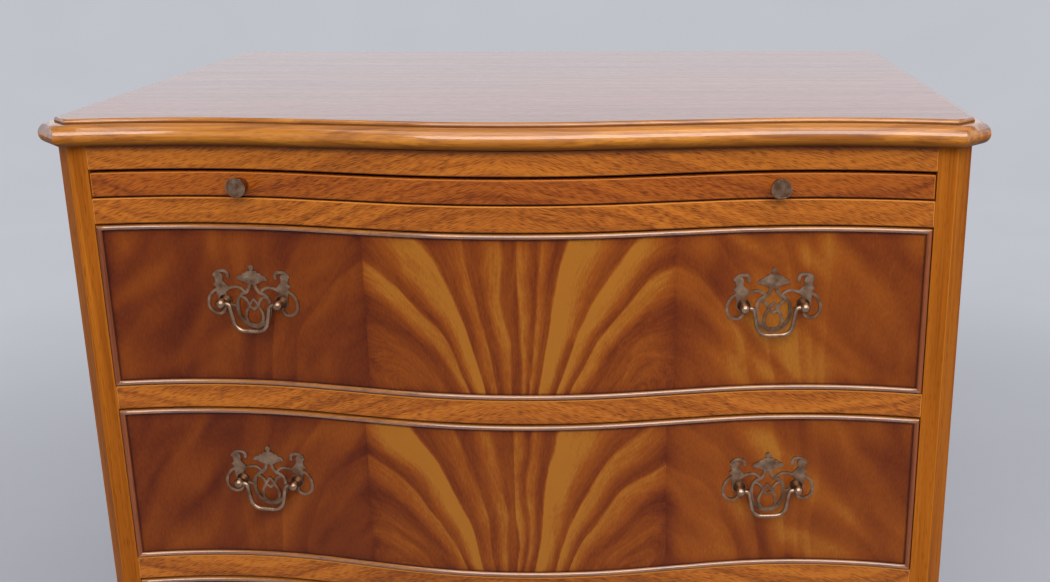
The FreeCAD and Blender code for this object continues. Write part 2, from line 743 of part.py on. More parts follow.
# Right half of the pierced backplate, in millimetres across and above the line of the posts
PALMETTE = ((0.0, 28.2), [(4.6, 27.8), (5.2, 26.2), (8.2, 25.8), (8.8, 24.0), (12.8, 23.0), (14.4, 19.4),
                          [(9.6, 18.6), (5.4, 16.6)], (0.0, 15.4)])
LEAF = ((34.0, 23.6), [(32.9, 17.2), (35.8, 15.0), (33.0, 12.6), (33.0, 8.0), (32.0, 1.0), (26.0, -1.5),
                       (20.2, 3.4), [(23.0, 5.0), (24.8, 7.8)], (20.2, 11.4), (24.0, 15.2), (27.0, 18.8),
                       [(26.4, 22.4), (28.6, 26.0)]])
STEM = [((2.6, 17.0), (3.3, 12.0), (7.2, 7.5), 2.8)]
ARM = [((7.2, 7.8), (9.8, 11.2), (14.0, 13.0), 2.3),
       ((14.0, 13.0), (17.6, 12.8), (21.5, 11.6), 2.3)]
VASE = [((7.2, 7.5), (12.4, 4.2), (14.6, -3.0), 2.8),
        ((14.6, -3.0), (13.6, -13.0), (8.2, -20.5), 2.8),
        ((8.2, -20.5), (4.6, -22.7), (0.0, -23.4), 2.8)]
INNER_LOOP = [((10.4, 4.0), (6.4, 1.2), (4.4, -5.4), 2.3),
              ((4.4, -5.4), (7.2, -10.0), (7.7, -15.5), 2.3),
              ((7.7, -15.5), (5.2, -20.4), (0.0, -22.2), 2.3)]
DIAMOND = [((0.0, 1.6), (2.4, -1.0), (4.4, -5.0), 2.1),
           ((4.4, -5.0), (2.0, -5.8), (0.0, -7.6), 2.1)]
BRIDGE = [((14.4, -5.4), (17.4, -4.2), (21.0, -3.4), 2.1)]
CURL = [((33.9, 23.4), (30.4, 26.9), (25.6, 27.6), 2.6),
        ((25.6, 27.6), (22.2, 25.8), (22.0, 22.0), 2.6)]
OUTER_LOOP = [((33.0, 10.2), (39.0, 4.8), (40.8, -2.0), 2.4),
              ((40.8, -2.0), (38.0, -9.6), (32.0, -12.0), 2.4),
              ((32.0, -12.0), (28.6, -10.8), (26.8, -5.0), 2.4)]


class Handle:
    """Right-hand handle of a drawer. In its own frame u runs across, v up and w out of the front."""

    def __init__(self, z):
        self.u, self.w = CARCASS.heading_at(HANDLE_X)
        self.origin = V(HANDLE_X, CARCASS.y_at(HANDLE_X), z)
        self.half = POST_SPACING / 2

    def place(self, u, v, w):
        return self.origin + self.u * u + UP * v + self.w * w

    def flat(self, point):
        """A point of the plate's pattern, safely behind the plate."""
        return self.place(point[0], point[1], -FRONT_T)

    def sag(self, u):
        """How far the hollow front comes forward of the handle's own plane at a distance u."""
        return HOLLOW_R - math.sqrt(HOLLOW_R ** 2 - u ** 2)

    def turned(self, start, steps, u):
        """A solid turned about the w axis at one post, from (radius, w) steps."""
        face = closed_face(start, steps, lambda point: self.place(u + point[0], 0, point[1]))
        return face.revolve(self.place(u, 0, 0), self.w, 360)

    def disc(self, centre, radius):
        return Part.Face(Part.Wire([Part.Circle(self.flat(centre), self.w, radius).toShape()]))

    def stroke(self, begin, middle, end, width):
        """A bar of brass along the arc through three points, with round ends."""
        centre = Part.Arc(self.flat(begin), self.flat(middle), self.flat(end)).toShape().Curve.Center
        outer = []
        inner = []
        for point in (begin, middle, end):
            spoke = (self.flat(point) - centre).normalize() * (width / 2)
            outer.append(self.flat(point) + spoke)
            inner.append(self.flat(point) - spoke)
        steps = [[outer[1], outer[2]], inner[2], [inner[1], inner[0]]]
        bar = closed_face(outer[0], steps, lambda point: point)
        return [bar, self.disc(begin, width / 2), self.disc(end, width / 2)]

    def half_pattern(self):
        """Faces that together make the right half of the pierced pattern."""
        neck = [(FINIAL_NECK_R, FINIAL_V), (FINIAL_NECK_R, PALMETTE[0][1] - FINIAL_R), (0.0, PALMETTE[0][1] - FINIAL_R)]
        faces = [closed_face(start, steps, self.flat) for start, steps in (PALMETTE, LEAF, ((0.0, FINIAL_V), neck))]
        for strokes in (STEM, ARM, VASE, INNER_LOOP, DIAMOND, BRIDGE, CURL, OUTER_LOOP):
            for begin, middle, end, width in strokes:
                faces += self.stroke(begin, middle, end, width)
        return faces + [self.disc((self.half, 0.0), BOSS_R), self.disc((0.0, FINIAL_V), FINIAL_R)]

    def sheet(self):
        """Curved sheet that lies on the drawer front under the whole plate."""
        low = self.origin.z - PLATE_HALF_H
        height = 2 * PLATE_HALF_H
        centre = V(CARCASS.hollow.x, CARCASS.hollow.y, low)
        ring = Part.makeCylinder(HOLLOW_R, height, centre).cut(Part.makeCylinder(HOLLOW_R - PLATE_T, height, centre))
        zone = box(HANDLE_X - PLATE_HALF_W, HANDLE_X + PLATE_HALF_W, FRONT - PLATE_HALF_W, FRONT + PLATE_HALF_W,
                   low, low + height)
        return ring.common(zone)

    def plate(self):
        """Pierced backplate, bent to the hollow of the drawer front and bored for the shanks."""
        bars = [face.extrude(self.w * 2 * FRONT_T) for face in self.half_pattern()]
        right = joined(bars)
        whole = joined([right, right.mirror(self.origin, self.u)])
        return whole.common(self.sheet()).cut(self.shank_holes()).Solids[0]

    def shank_holes(self):
        """Bores for both shanks, right through the plate and the drawer front."""
        holes = []
        for u in (-self.half, self.half):
            holes.append(Part.makeCylinder(SHANK_HOLE_R, 3 * FRONT_T, self.place(u, 0, -2 * FRONT_T), self.w))
        return group(holes)

    def posts(self):
        return group([solid for u in (-self.half, self.half) for solid in self.post(u)])

    def post(self, u):
        """One post and its nut: collar, neck, ball head bored for the bail, shank through the front."""
        seat = PLATE_T + self.sag(self.half + COLLAR_R)
        nut_face = self.sag(self.half - NUT_R) - FRONT_T
        nut_back = nut_face - NUT_H
        ball_low = -math.sqrt(BALL_R ** 2 - NECK_R ** 2)
        ball_angle = math.degrees(math.asin(ball_low / BALL_R))
        tip = nut_back - SHANK_PAST_NUT
        steps = [(SHANK_R, tip), (SHANK_R, seat), (COLLAR_R, seat),
                 [(COLLAR_FLARE_R, seat + COLLAR_FLARE_H), (NECK_R, seat + COLLAR_H)], (NECK_R, PIVOT_W + ball_low),
                 arc_step((0.0, PIVOT_W), BALL_R, ball_angle, 90)]
        post = self.turned((0.0, tip), steps, u)
        inward = self.u * math.copysign(1, -u)
        mouth = self.place(u, 0, PIVOT_W) + inward * 2 * BALL_R
        post = post.cut(Part.makeCylinder(PIN_HOLE_R, 2 * BALL_R + PIN_HOLE_REACH, mouth, inward * -1))
        nut = self.turned((SHANK_R, nut_face), [(NUT_R, nut_face), (NUT_R, nut_back), (SHANK_R, nut_back)], u)
        return [post, nut]

    def bail(self):
        """Round bail: pins in the balls, swan necks, legs that lean inwards and a rounded foot."""
        lean = math.radians(BAIL_LEAN)
        top = self.half - BALL_R - BAIL_SHOULDER
        neck = arc_step((top, -BAIL_NECK_R), BAIL_NECK_R, 90, 180 - BAIL_LEAN)
        neck_u, neck_v = neck[1]
        corner_v = BAIL_CORNER_R - BAIL_DROP
        ankle_v = corner_v - BAIL_CORNER_R * math.sin(lean)
        ankle_u = neck_u - (neck_v - ankle_v) * math.tan(lean)
        foot_u = ankle_u - BAIL_CORNER_R * math.cos(lean)
        steps = [neck,
                 (ankle_u, ankle_v),
                 arc_step((foot_u, corner_v), BAIL_CORNER_R, -BAIL_LEAN, -90),
                 (-foot_u, -BAIL_DROP),
                 arc_step((-foot_u, corner_v), BAIL_CORNER_R, -90, BAIL_LEAN - 180),
                 (-neck_u, neck_v),
                 arc_step((-top, -BAIL_NECK_R), BAIL_NECK_R, BAIL_LEAN, 90)]
        place = lambda point: self.place(point[0], point[1], PIVOT_W)
        route = [[place(step[0]), place(step[1])] if isinstance(step, list) else place(step) for step in steps]
        wire = sweep(place((top, 0.0)), route, self.bail_section, self.w)
        reach = self.half + PIN_REACH - top
        pins = [Part.makeCylinder(PIN_R, reach, place((side * top, 0.0)), self.u * side) for side in (-1, 1)]
        return joined([wire] + pins)

    @staticmethod
    def bail_section(point, heading):
        return Part.Face(Part.Wire([Part.Circle(point, heading, BAIL_R).toShape()]))


def slide_pieces():
    """Brushing slide: panel between clamped ends, serpentine lipping, stop pegs and knobs."""
    low = SLIDE_Z + SLIDE_FLOOR_GAP
    high = low + SLIDE_T
    middle = (low + high) / 2
    back = FRONT + SLIDE_BACK
    inner = DRAWER_HALF - CLAMP_W
    lipping = CARCASS.curved_board(0, -LIPPING_T, DRAWER_HALF, low + LIPPING_LIFT, SLIDE_T - LIPPING_LIFT)
    board = CARCASS.straight_back_board(-LIPPING_T, back, DRAWER_HALF, low, SLIDE_T)
    tongue = box(inner, inner + CLAMP_TONGUE, -FAR, back, middle - CLAMP_TONGUE_T / 2, middle + CLAMP_TONGUE_T / 2)
    clamp = board.common(box(inner, DRAWER_HALF, -FAR, back, low, high)).cut(tongue)
    clamps = both_sides(clamp.Solids[0])
    peg = Part.makeCylinder(PEG_R, PEG_DEPTH + PEG_PROUD, V(PEG_X, FRONT + PEG_Y, high - PEG_DEPTH))
    pegs = both_sides(peg)
    knob, socket = make_knob(middle)
    return {"slide_panel": [board.cut(group(clamps + pegs))],
            "slide_clamps": clamps,
            "slide_lipping": [lipping.cut(group(both_sides(socket)))],
            "slide_pegs": pegs,
            "slide_knobs": both_sides(knob)}


def make_knob(z):
    """Turned brass knob, flared towards a dished face, square to the front at its place, and its socket."""
    across, out = CARCASS.heading_at(KNOB_X)
    sag = HOLLOW_R - math.sqrt(HOLLOW_R ** 2 - KNOB_BASE_R ** 2)
    seat = V(KNOB_X, CARCASS.y_at(KNOB_X), z) + out * sag
    rim_low = KNOB_L - KNOB_RIM_H
    dish_r = KNOB_R - KNOB_RIM_W
    steps = [(KNOB_PEG_R, -KNOB_PEG_L), (KNOB_PEG_R, 0.0), (KNOB_BASE_R, 0.0),
             [(KNOB_WAIST_R, rim_low / 2), (KNOB_R, rim_low)],
             (KNOB_R, KNOB_L), (dish_r, KNOB_L), (dish_r, KNOB_L - KNOB_DISH), (0.0, KNOB_L - KNOB_DISH)]
    place = lambda point: seat + across * point[0] + out * point[1]
    knob = closed_face((0.0, -KNOB_PEG_L), steps, place).revolve(seat, out, 360)
    socket = Part.makeCylinder(KNOB_PEG_R, KNOB_PEG_L + KNOB_L, seat - out * KNOB_PEG_L, out)
    return knob, socket


def save(node, solids):
    shape = solids[0] if len(solids) == 1 else group(solids)
    shape.exportStep(f"parts/{node}.step")


def main():
    os.makedirs("parts", exist_ok=True)
    pieces = carcass_pieces()
    pieces.update(slide_pieces())
    for number in range(1, DRAWERS + 1):
        for name, solids in drawer_pieces(number).items():
            pieces[f"drawer_{number}_{name}"] = solids
    for node, solids in pieces.items():
        save(node, solids)
    print(len(pieces), "nodes; height", TOP_Z + TOP_H, "width", 2 * (CARCASS_HALF + NOSE), "post faces at", FRONT)


main()
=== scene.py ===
import json
import math
from functools import cache

import bmesh
import bpy
from bpy.props import FloatProperty, FloatVectorProperty, PointerProperty
from mathutils import Matrix, Vector, noise

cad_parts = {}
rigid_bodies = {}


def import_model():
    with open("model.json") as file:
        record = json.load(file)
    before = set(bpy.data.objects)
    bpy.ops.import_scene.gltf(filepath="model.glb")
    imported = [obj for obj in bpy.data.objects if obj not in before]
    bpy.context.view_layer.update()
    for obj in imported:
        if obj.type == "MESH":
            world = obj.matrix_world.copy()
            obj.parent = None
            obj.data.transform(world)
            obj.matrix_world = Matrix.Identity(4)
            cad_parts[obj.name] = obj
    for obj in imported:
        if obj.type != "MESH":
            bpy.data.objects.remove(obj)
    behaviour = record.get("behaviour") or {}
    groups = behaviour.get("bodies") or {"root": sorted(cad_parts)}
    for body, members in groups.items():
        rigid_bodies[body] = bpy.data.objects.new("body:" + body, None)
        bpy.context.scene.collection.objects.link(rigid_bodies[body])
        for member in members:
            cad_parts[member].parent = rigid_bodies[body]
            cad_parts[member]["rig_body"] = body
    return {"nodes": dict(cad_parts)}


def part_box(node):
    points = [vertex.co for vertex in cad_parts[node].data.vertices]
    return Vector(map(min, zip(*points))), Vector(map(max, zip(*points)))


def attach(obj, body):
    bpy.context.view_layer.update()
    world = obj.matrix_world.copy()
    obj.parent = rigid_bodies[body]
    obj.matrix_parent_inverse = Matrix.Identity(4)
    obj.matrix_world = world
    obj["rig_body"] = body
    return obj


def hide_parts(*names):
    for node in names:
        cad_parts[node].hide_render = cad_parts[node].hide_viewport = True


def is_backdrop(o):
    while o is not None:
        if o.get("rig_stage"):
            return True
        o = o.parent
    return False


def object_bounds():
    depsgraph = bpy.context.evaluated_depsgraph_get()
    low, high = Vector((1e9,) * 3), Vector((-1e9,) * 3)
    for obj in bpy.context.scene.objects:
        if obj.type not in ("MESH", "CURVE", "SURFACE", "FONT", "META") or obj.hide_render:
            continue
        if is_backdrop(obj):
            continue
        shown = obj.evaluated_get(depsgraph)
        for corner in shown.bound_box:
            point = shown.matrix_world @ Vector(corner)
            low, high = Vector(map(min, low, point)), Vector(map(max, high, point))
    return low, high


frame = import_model()
CAD_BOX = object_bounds()

bl_info = {
    "name": "Serpentine chest of drawers",
    "version": (1, 0, 0),
    "blender": (4, 5, 0),
    "location": "View3D > Sidebar > Chest",
    "description": "Finishes a serpentine mahogany chest: moulded top, flame veneers, beads and worn brasses",
    "category": "Object",
}

# Metres throughout; small sizes are written in millimetres
MM = 0.001
DRAWERS = (1, 2, 3, 4)
SIDES = {"left": -1, "right": 1}
UP = Vector((0, 0, 1))

# Serpentine front in plan: crest arc, straight runs and hollow arcs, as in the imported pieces,
# and the flat face of the corner post beside the cant
CREST_R = 0.600
HOLLOW_R = 0.515
HOLLOW_X = 0.270
CARCASS_RISE = 0.031
TOP_RISE = 0.025
FRONT_STEPS = 120
POST_FACE = 16.0 * MM

# Moulded edge of the top, outwards and upwards from the carcass outline and the upper face
TOP_FLAT_INSET = 2.5 * MM
TOP_BEAD_R = 3.0 * MM
TOP_QUIRK = 1.0 * MM
TOP_LEDGE = 3.0 * MM
TOP_OVOLO_R = 10.0 * MM
TOP_LOWER_R = 8.5 * MM
TOP_BEAD_STEPS = 7
TOP_OVOLO_STEPS = 12
TOP_LOWER_STEPS = 10

# Rows of its faces, downwards: wax and painted shade darken the bead, quirk and ledge, and painted shade
# darkens the turn under the nose.
# No cloth reaches the quirk and the lower turn, so they are dull. A paler band on the nose is a painted
# highlight.
TOP_WAX_AND_SHADE = {0: 0.1, 1: 0.1, 2: 0.1, 3: 0.1, 4: 0.15, 5: 0.3, 6: 0.8, 7: 0.3, 20: 0.2, 21: 0.45, 22: 0.55,
             23: 0.65, 24: 0.75, 25: 0.9, 26: 1.0, 27: 1.0}
TOP_DULL = (6, 19, 20, 21, 22, 23, 24, 25, 26, 27)
TOP_NOSE_HIGHLIGHT = {14: 0.1, 15: 0.2, 16: 0.2, 17: 0.1}

# Finishes of the top, in order
TOP_WOODS = ("top", "edge", "under")
FIELD, EDGE, UNDER = 0, 1, 2

# Cockbeads, paler on top as a painted highlight and darker below as painted shade, and the veneer between
# them
BEAD_W = 4.5 * MM
BEAD_DEPTH = 6.0 * MM
BEAD_STEPS = 11
BEAD_TOP_HIGHLIGHT = 0.5
VENEER_PROUD = 0.3 * MM
VENEER_T = 0.8 * MM
VENEER_UNDER_BEAD = 0.3 * MM
VENEER_CELL = 2.5 * MM

# Flame figure: two leaves meet on the centre line and one more is matched on each side of them
LEAF_W = 0.134
FAN_REACH = 0.150
FAN_BELOW = 8.0 * MM

# How far each drawer's centre line lies from the middle, and the shift of its plumes
MATCH = {1: (9 * MM, 0.0), 2: (2 * MM, 0.06), 3: (-3 * MM, -0.05), 4: (4 * MM, 0.09)}

# Plumes of the left and right leaves, outwards from the centre line: where each starts, with a crisp edge,
# where it has faded, and how much it stands out from the ground between the plumes
FAN_SPAN = 1.6
PLUME_EDGE = 0.014
PLUME_GROUND = 0.29
PLUME_BODY = 0.75
PLUMES = {
    -1: ((0.12, 0.27, 0.30), (0.35, 0.52, 0.26), (0.58, 0.86, 0.56), (0.92, 1.18, 0.36)),
    1: ((0.02, 0.11, 0.36), (0.14, 0.23, 0.32), (0.29, 0.60, 0.55), (0.66, 0.90, 0.42), (0.96, 1.26, 0.40)),
}
PAST_PLUMES = ((1.34, -0.04), (FAN_SPAN, 0.1))

# The figure wanders: size of a bend across and up, and how far it goes. The plumes gather at a drawer's foot.
BEND_W, BEND_H = 0.045, 0.060
WANDER_ACROSS, WANDER_UP = 7 * MM, 9 * MM
FAN_GATHER = 0.5

# Middle tone of centre and outer leaves on each side: the right of the chest is the lighter one, as painted
# light falling from the right
LEAF_TONE_AND_SIDE_LIGHT = {-1: (0.68, 0.46), 1: (0.685, 0.635)}

# Outer leaves are calm, less so by their seam, and have slanting, swirled clouds with smaller ones in them
CALMED = 0.75
SEAM_LIVELY, SEAM_LIVELY_REACH = 0.4, 0.02
CLOUDS = {-1: 0.25, 1: 0.34}
CLOUD_COS, CLOUD_SIN = 0.8, 0.6
CLOUD_W, CLOUD_L = 0.026, 0.075
SWIRL, SWIRL_SCALE = 0.7, 0.8
SMALL_CLOUDS, SMALL_SCALE = 0.4, 2.3

# Steps that keep the figure of drawers, sides, leaves and bends apart
DRAWER_SEED, SIDE_SEED, CLOUD_SEED, LEAF_STEP = 7.3, 0.4, 3, 5
RISE_SHIFT, SWIRL_SHIFT = Vector((5, 9, 0)), Vector((7, 0, 0))

# Darker by the seams, and painted shade by the beads: how much, and how far from them
SEAM_DARK, SEAM_REACH = 0.2, 10.0 * MM
RIM_SHADE, RIM_REACH = 0.22, 3 * MM

# Swan-neck handles
HANDLE_X = 0.228
HANDLE_RISE = 0.0805
FRONT_GAP = 1.0 * MM
POST_HALF = 0.026
PIVOT_OUT = 11.0 * MM
BALL_R = 4.6 * MM
COLLAR_OUT = 6.3 * MM
BAIL_SHOULDER = 0.5 * MM
BAIL_NECK_R = 3.0 * MM
BAIL_NECK_STEPS = 9
BAIL_LEAN = math.radians(10)
BAIL_DROP = 24.5 * MM
BAIL_CORNER_R = 10.0 * MM
BAIL_CORNER_STEPS = 10
BAIL_LEG_SHARES = (0.25, 0.5, 0.75)
PIN_REACH = 0.6 * MM
PIN_SHARE = 0.76
WIRE_SIDES = 20

# Serpentine rails from the top down
RAILS = ("top_rail", "slide_rail", "drawer_rail_1", "drawer_rail_2", "drawer_rail_3", "bottom_rail")

# Back boards, where across each of them its two rows of nails go, and what they are nailed to
BACK_BOARDS = 4
NAIL_SHARES = (0.16, 0.84)
NAILED_TO = ("bottom_board",) + RAILS[-2::-1]
NAIL_FLAT = 0.35
NAIL_SIZES = (0.85, 1.1)

# Edges of pieces: flatter than the first angle they are dissolved, sharper than the second they are eased,
# and sharper than the third they are not shaded smooth
FLAT_ANGLE = math.radians(0.4)
ARRIS_ANGLE = math.radians(35)
SHARP_ANGLE = math.radians(40)

# Steps from 0 to 1 that keep the grain of neighbouring solids and pieces apart
SOLID_STEP, NAME_STEP = 0.37, 0.11

# Painted shade on edges that face down and on the rail in the angle under the top: how far down they face,
# how dark they are, and its depth under the top
UNDER_EDGE = 0.3
UNDER_EDGE_SHADE = 0.8
TOP_SHADOW_DEPTH = 6.0 * MM

# Sockets of the Mix node when it mixes colours
MIX_A, MIX_B, MIX_OUT = 6, 7, 2

# Tints of a wood's main colour: darker and lighter streaks, open pores, old wax with painted shade, rubbed
# edges with a painted highlight, and the painted highlight on rail edges
DARK_STREAK = (0.52, 0.42, 0.45)
LIGHT_STREAK = (1.38, 1.55, 1.6)
PORE_TINT = (0.35, 0.27, 0.3)
SHADE_AND_GRIME_TINT = (0.2, 0.15, 0.18)
WEAR_AND_HIGHLIGHT_TINT = (1.5, 1.7, 1.8)
RAIL_EDGE_HIGHLIGHT_TINT = (1.9, 2.5, 4.0)

# Turn of Object coordinates that brings the grain on to the first axis
GRAIN_TURN = {"x": (0, 0, 0), "y": (0, 0, -math.pi / 2), "z": (0, math.pi / 2, 0)}

# Name, colour, ring width, ring length, contrast, share of fine streaks, roughness, coat and shine.
# French-polished mahogany: brown, finely streaked, a thin hard shine over open pores.
# Oak and pine of the linings: sawn and planed, dry, paler and dull.
WOODS = {
    "top": ("french_polished_mahogany_top", "top", 16 * MM, 0.70, 0.55, 0.12, 0.30, 1.0, 0.2),
    "edge": ("french_polished_mahogany_moulding", "edge", 6 * MM, 0.30, 0.6, 0.20, 0.16, 1.0, 0.3),
    "under": ("waxed_mahogany_under_moulding", "edge", 6 * MM, 0.30, 0.6, 0.20, 0.45, 0.0, 0.1),
    "post": ("french_polished_mahogany_post", "post", 9 * MM, 0.35, 0.5, 0.34, 0.44, 0.0, 0.03),
    "side": ("french_polished_mahogany_side", "side", 16 * MM, 0.45, 0.55, 0.34, 0.36, 0.15, 0.2),
    "base": ("french_polished_mahogany_base", "base", 8 * MM, 0.25, 0.6, 0.34, 0.38, 0.15, 0.2),
    "bead": ("polished_mahogany_bead", "bead", 4 * MM, 0.20, 0.7, 0.34, 0.16, 1.0, 1.0),
    # Upright beads are a darker copy of the bead wood, as painted shade
    "upright": ("polished_mahogany_upright_bead", "upright", 4 * MM, 0.20, 0.7, 0.34, 0.3, 0.3, 0.3),
    "slide": ("polished_mahogany_slide", "slide", 10 * MM, 0.40, 0.7, 0.34, 0.36, 0.3, 0.2),
    "oak": ("planed_oak", "oak", 7 * MM, 0.30, 0.5, 0.34, 0.62, 0.0, 0.4),
    "pine": ("planed_pine", "pine", 12 * MM, 0.50, 0.5, 0.34, 0.70, 0.0, 0.4),
}

# Name, share worn bright and roughness of the metals.
# Cast brass: bronze-brown, with a soft gleam where it is handled. Nails: dull and brown with rust.
METALS = {
    "plate": ("tarnished_cast_brass", 0.50, 0.34),
    "grip": ("rubbed_cast_brass", 0.52, 0.22),
    "knob": ("turned_brass", 0.45, 0.22),
    "nail": ("rusted_iron_nail", 0.15, 0.5),
}

# Strength and depth of the relief of woods, veneer and metals
WOOD_RELIEF = (0.12, 0.15 * MM)
VENEER_RELIEF = (0.06, 0.1 * MM)
METAL_RELIEF = (0.15, 0.1 * MM)

# Photograph's frame, in pixels
PHOTO_W = 1050
PHOTO_H = 582

# Round backdrop, far enough off to stand behind every view: flat floor in rings, cove and upright side
STAGE_R = 4.6
STAGE_FIRST_R = 0.5
STAGE_RINGS = 8
STAGE_COVE_R = 1.0
STAGE_COVE_STEPS = 12
STAGE_SIDE_H = 3.0
STAGE_STEPS = 96

# Within the first distance of the chest the paint is lit, and from the second on it shows at its own colour
SHADOW_NEAR, SHADOW_FAR = 0.7, 2.6

# Soft lights: place, the point each is aimed at, width and height
MIDDLE = (0, 0, 0.55)
LIGHTS = {
    "overhead": ((0.3, -1.0, 2.7), (0.3, -0.9, 0), 2.6, 1.6),
    "window": ((0.4, -2.5, 2.45), MIDDLE, 3.6, 1.4),
    "wall": ((0.1, 3.1, 1.75), MIDDLE, 6.4, 1.3),
    "flank": ((2.6, -0.9, 1.3), MIDDLE, 1.2, 1.2),
}

# The room's light: its colour, where the ceiling begins and is reached, and its shares at left and right
ROOM_WHITE = "F6F4F4"
CEILING_FROM, CEILING_AT = 0.45, 0.85
ROOM_LEFT, ROOM_RIGHT = 0.6, 1.25


def linear(code):
    """Linear colour of an sRGB hex value."""
    shares = [int(code[index:index + 2], 16) / 255 for index in (0, 2, 4)]
    return tuple(s / 12.92 if s <= 0.04045 else ((s + 0.055) / 1.055) ** 2.4 for s in shares) + (1.0,)


def tinted(main, tint):
    return tuple(min(1.0, c * t) for c, t in zip(main[:3], tint)) + (1.0,)


def colour(name, description, code):
    return FloatVectorProperty(name=name, description=description, size=4, min=0, max=1, subtype="COLOR",
                               default=linear(code))


def length(name, description, value):
    return FloatProperty(name=name, description=description, default=value, min=0, unit="LENGTH")


def amount(name, description, value, subtype="NONE"):
    return FloatProperty(name=name, description=description, default=value, subtype=subtype)


class ChestSizes(bpy.types.PropertyGroup):
    """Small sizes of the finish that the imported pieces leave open"""
    rail_arris: length("Rail edge", "Rounding of the edges of rails and slide", 1.0 * MM)
    board_arris: length("Board edge", "Rounding of the edges of boards, feet and linings", 0.5 * MM)
    joint_arris: length("Back joint", "Chamfer where two back boards meet", 1.5 * MM)
    plate_arris: length("Plate edge", "Filed edge of the pierced plates", 0.7 * MM)
    turned_arris: length("Turned edge", "Softened edges of posts, nuts and knobs", 0.25 * MM)
    wire_radius: length("Bail wire", "Radius of the bail where it leaves the balls", 1.9 * MM)
    wire_swell: amount("Bail swell", "How much thicker the bail is in the middle of its foot", 0.14, "FACTOR")
    nail_radius: length("Nail head", "Radius of the nail heads in the back boards", 3.2 * MM)


class ChestColours(bpy.types.PropertyGroup):
    """Colours of the woods and brasses"""
    top: colour("Top", "Polished field of the top", "8A4724")
    edge: colour("Top edge", "Moulded edge of the top", "B06C20")
    rail: colour("Rails", "Serpentine rails", "9A5315")
    lipping: colour("Slide edge", "Serpentine edge of the slide", "8C450F")
    post: colour("Corner posts", "Straight-grained posts", "985314")
    side: colour("Sides", "Carcass sides", "8C4C1C")
    base: colour("Base", "Base moulding and feet", "8A4819")
    bead: colour("Cockbeads", "Beads round the drawers", "8E5218")
    # Upright beads are painted darker than the horizontal beads, as painted shade
    upright: colour("Upright beads", "Beads at the ends of the drawers", "7E3E18")
    slide: colour("Slide", "Panel and clamps of the slide", "8C4E26")
    oak: colour("Oak", "Drawer linings and runners", "B08A5C")
    pine: colour("Pine", "Back boards, dustboards and blocks", "BC8A5A")
    flame_dark: colour("Flame, dark", "Swirls and edges of the veneer", "46190A")
    flame_brown: colour("Flame, brown", "Calm parts of the veneer", "702A0E")
    flame_mid: colour("Flame, middle", "Main tone of the veneer", "914110")
    flame_gold: colour("Flame, gold", "Plumes of the veneer", "B65E16")
    flame_light: colour("Flame, light", "Brightest licks of the veneer", "CE8328")
    brass_dark: colour("Brass, tarnished", "Bronze-brown tarnish on the plates", "6E4E38")
    brass_worn: colour("Brass, worn", "Edges and grips rubbed bright", "E2C4A6")


class ChestStage(bpy.types.PropertyGroup):
    """Camera, lights and backdrop"""
    focal: amount("Focal length", "Focal length in pixels of the photograph's width", 1165.4)
    centre: FloatVectorProperty(name="Axis", description="Pixel that the camera's axis meets", size=2,
                                default=(610.9, 235.0))
    place: FloatVectorProperty(name="Camera place", description="Where the camera stands", unit="LENGTH",
                               subtype="TRANSLATION", default=(0.12865, -1.18883, 1.04694))
    turn: FloatVectorProperty(name="Camera turn", description="Yaw, pitch down and roll", subtype="EULER",
                              default=(math.radians(2.44), math.radians(15.46), math.radians(-0.40)))
    backdrop: colour("Backdrop", "Pale paint of the backdrop", "C2C4CC")
    sky: amount("Room light", "Strength of the room's light near the horizon", 0.25)
    ceiling: amount("Ceiling light", "Strength of the room's light from above", 0.5)
    overhead: amount("Overhead light", "Power of the large panel overhead", 24.0, "POWER")
    window: amount("Window light", "Power of the wide light in front, which mouldings mirror", 86.0, "POWER")
    flank: amount("Flank light", "Power of the soft light on the right", 4.0, "POWER")
    wall: amount("Wall light", "Power of the low light behind, which the top mirrors", 7.9, "POWER")


def add(tree, kind, *values, named=None, out=0, stops=(), **settings):
    """Adds a node and gives one of its outputs. Its inputs, in order or named, are sockets or constants."""
    made = tree.nodes.new(kind)
    for key, value in settings.items():
        setattr(made, key, value)
    for key, value in (*enumerate(values), *(named or {}).items()):
        if isinstance(value, bpy.types.NodeSocket):
            tree.links.new(value, made.inputs[key])
        else:
            made.inputs[key].default_value = value
    for index, (position, shade) in enumerate(stops):
        elements = made.color_ramp.elements
        stop = elements[index] if index < len(elements) else elements.new(position)
        stop.position, stop.color = position, shade
    return made.outputs[out] if made.outputs else None


def blank(name, *marks):
    """A new material, the place on a piece, and what its faces carry under each mark."""
    material = bpy.data.materials.new(name)
    material.use_nodes = True
    tree = material.node_tree
    place = add(tree, "ShaderNodeTexCoord", out="Object")
    return material, place, *[add(tree, "ShaderNodeAttribute", attribute_name=m, out="Fac") for m in marks]


def figured(tree, place, sizes, detail, distortion=0.0):
    """Soft uneven figure whose marks have a size along each axis of a place."""
    counts = tuple(1 / size for size in sizes)
    place = add(tree, "ShaderNodeVectorMath", place, counts, operation="MULTIPLY")
    return add(tree, "ShaderNodeTexNoise", named={"Vector": place, "Scale": 1.0, "Detail": detail,
                                                  "Distortion": distortion})


def overlaid(tree, shade, main, stains_and_painted_light):
    """Lays stains, painted highlights and painted shade over a shade: where each lies, how strong it is, and
    its tint of the main colour.
    """
    for where, strength, tint in stains_and_painted_light:
        share = add(tree, "ShaderNodeMath", where, strength, operation="MULTIPLY")
        shade = add(tree, "ShaderNodeMix", named={0: share, MIX_A: shade, MIX_B: tinted(main, tint)},
                    data_type="RGBA", out=MIX_OUT)
    return shade


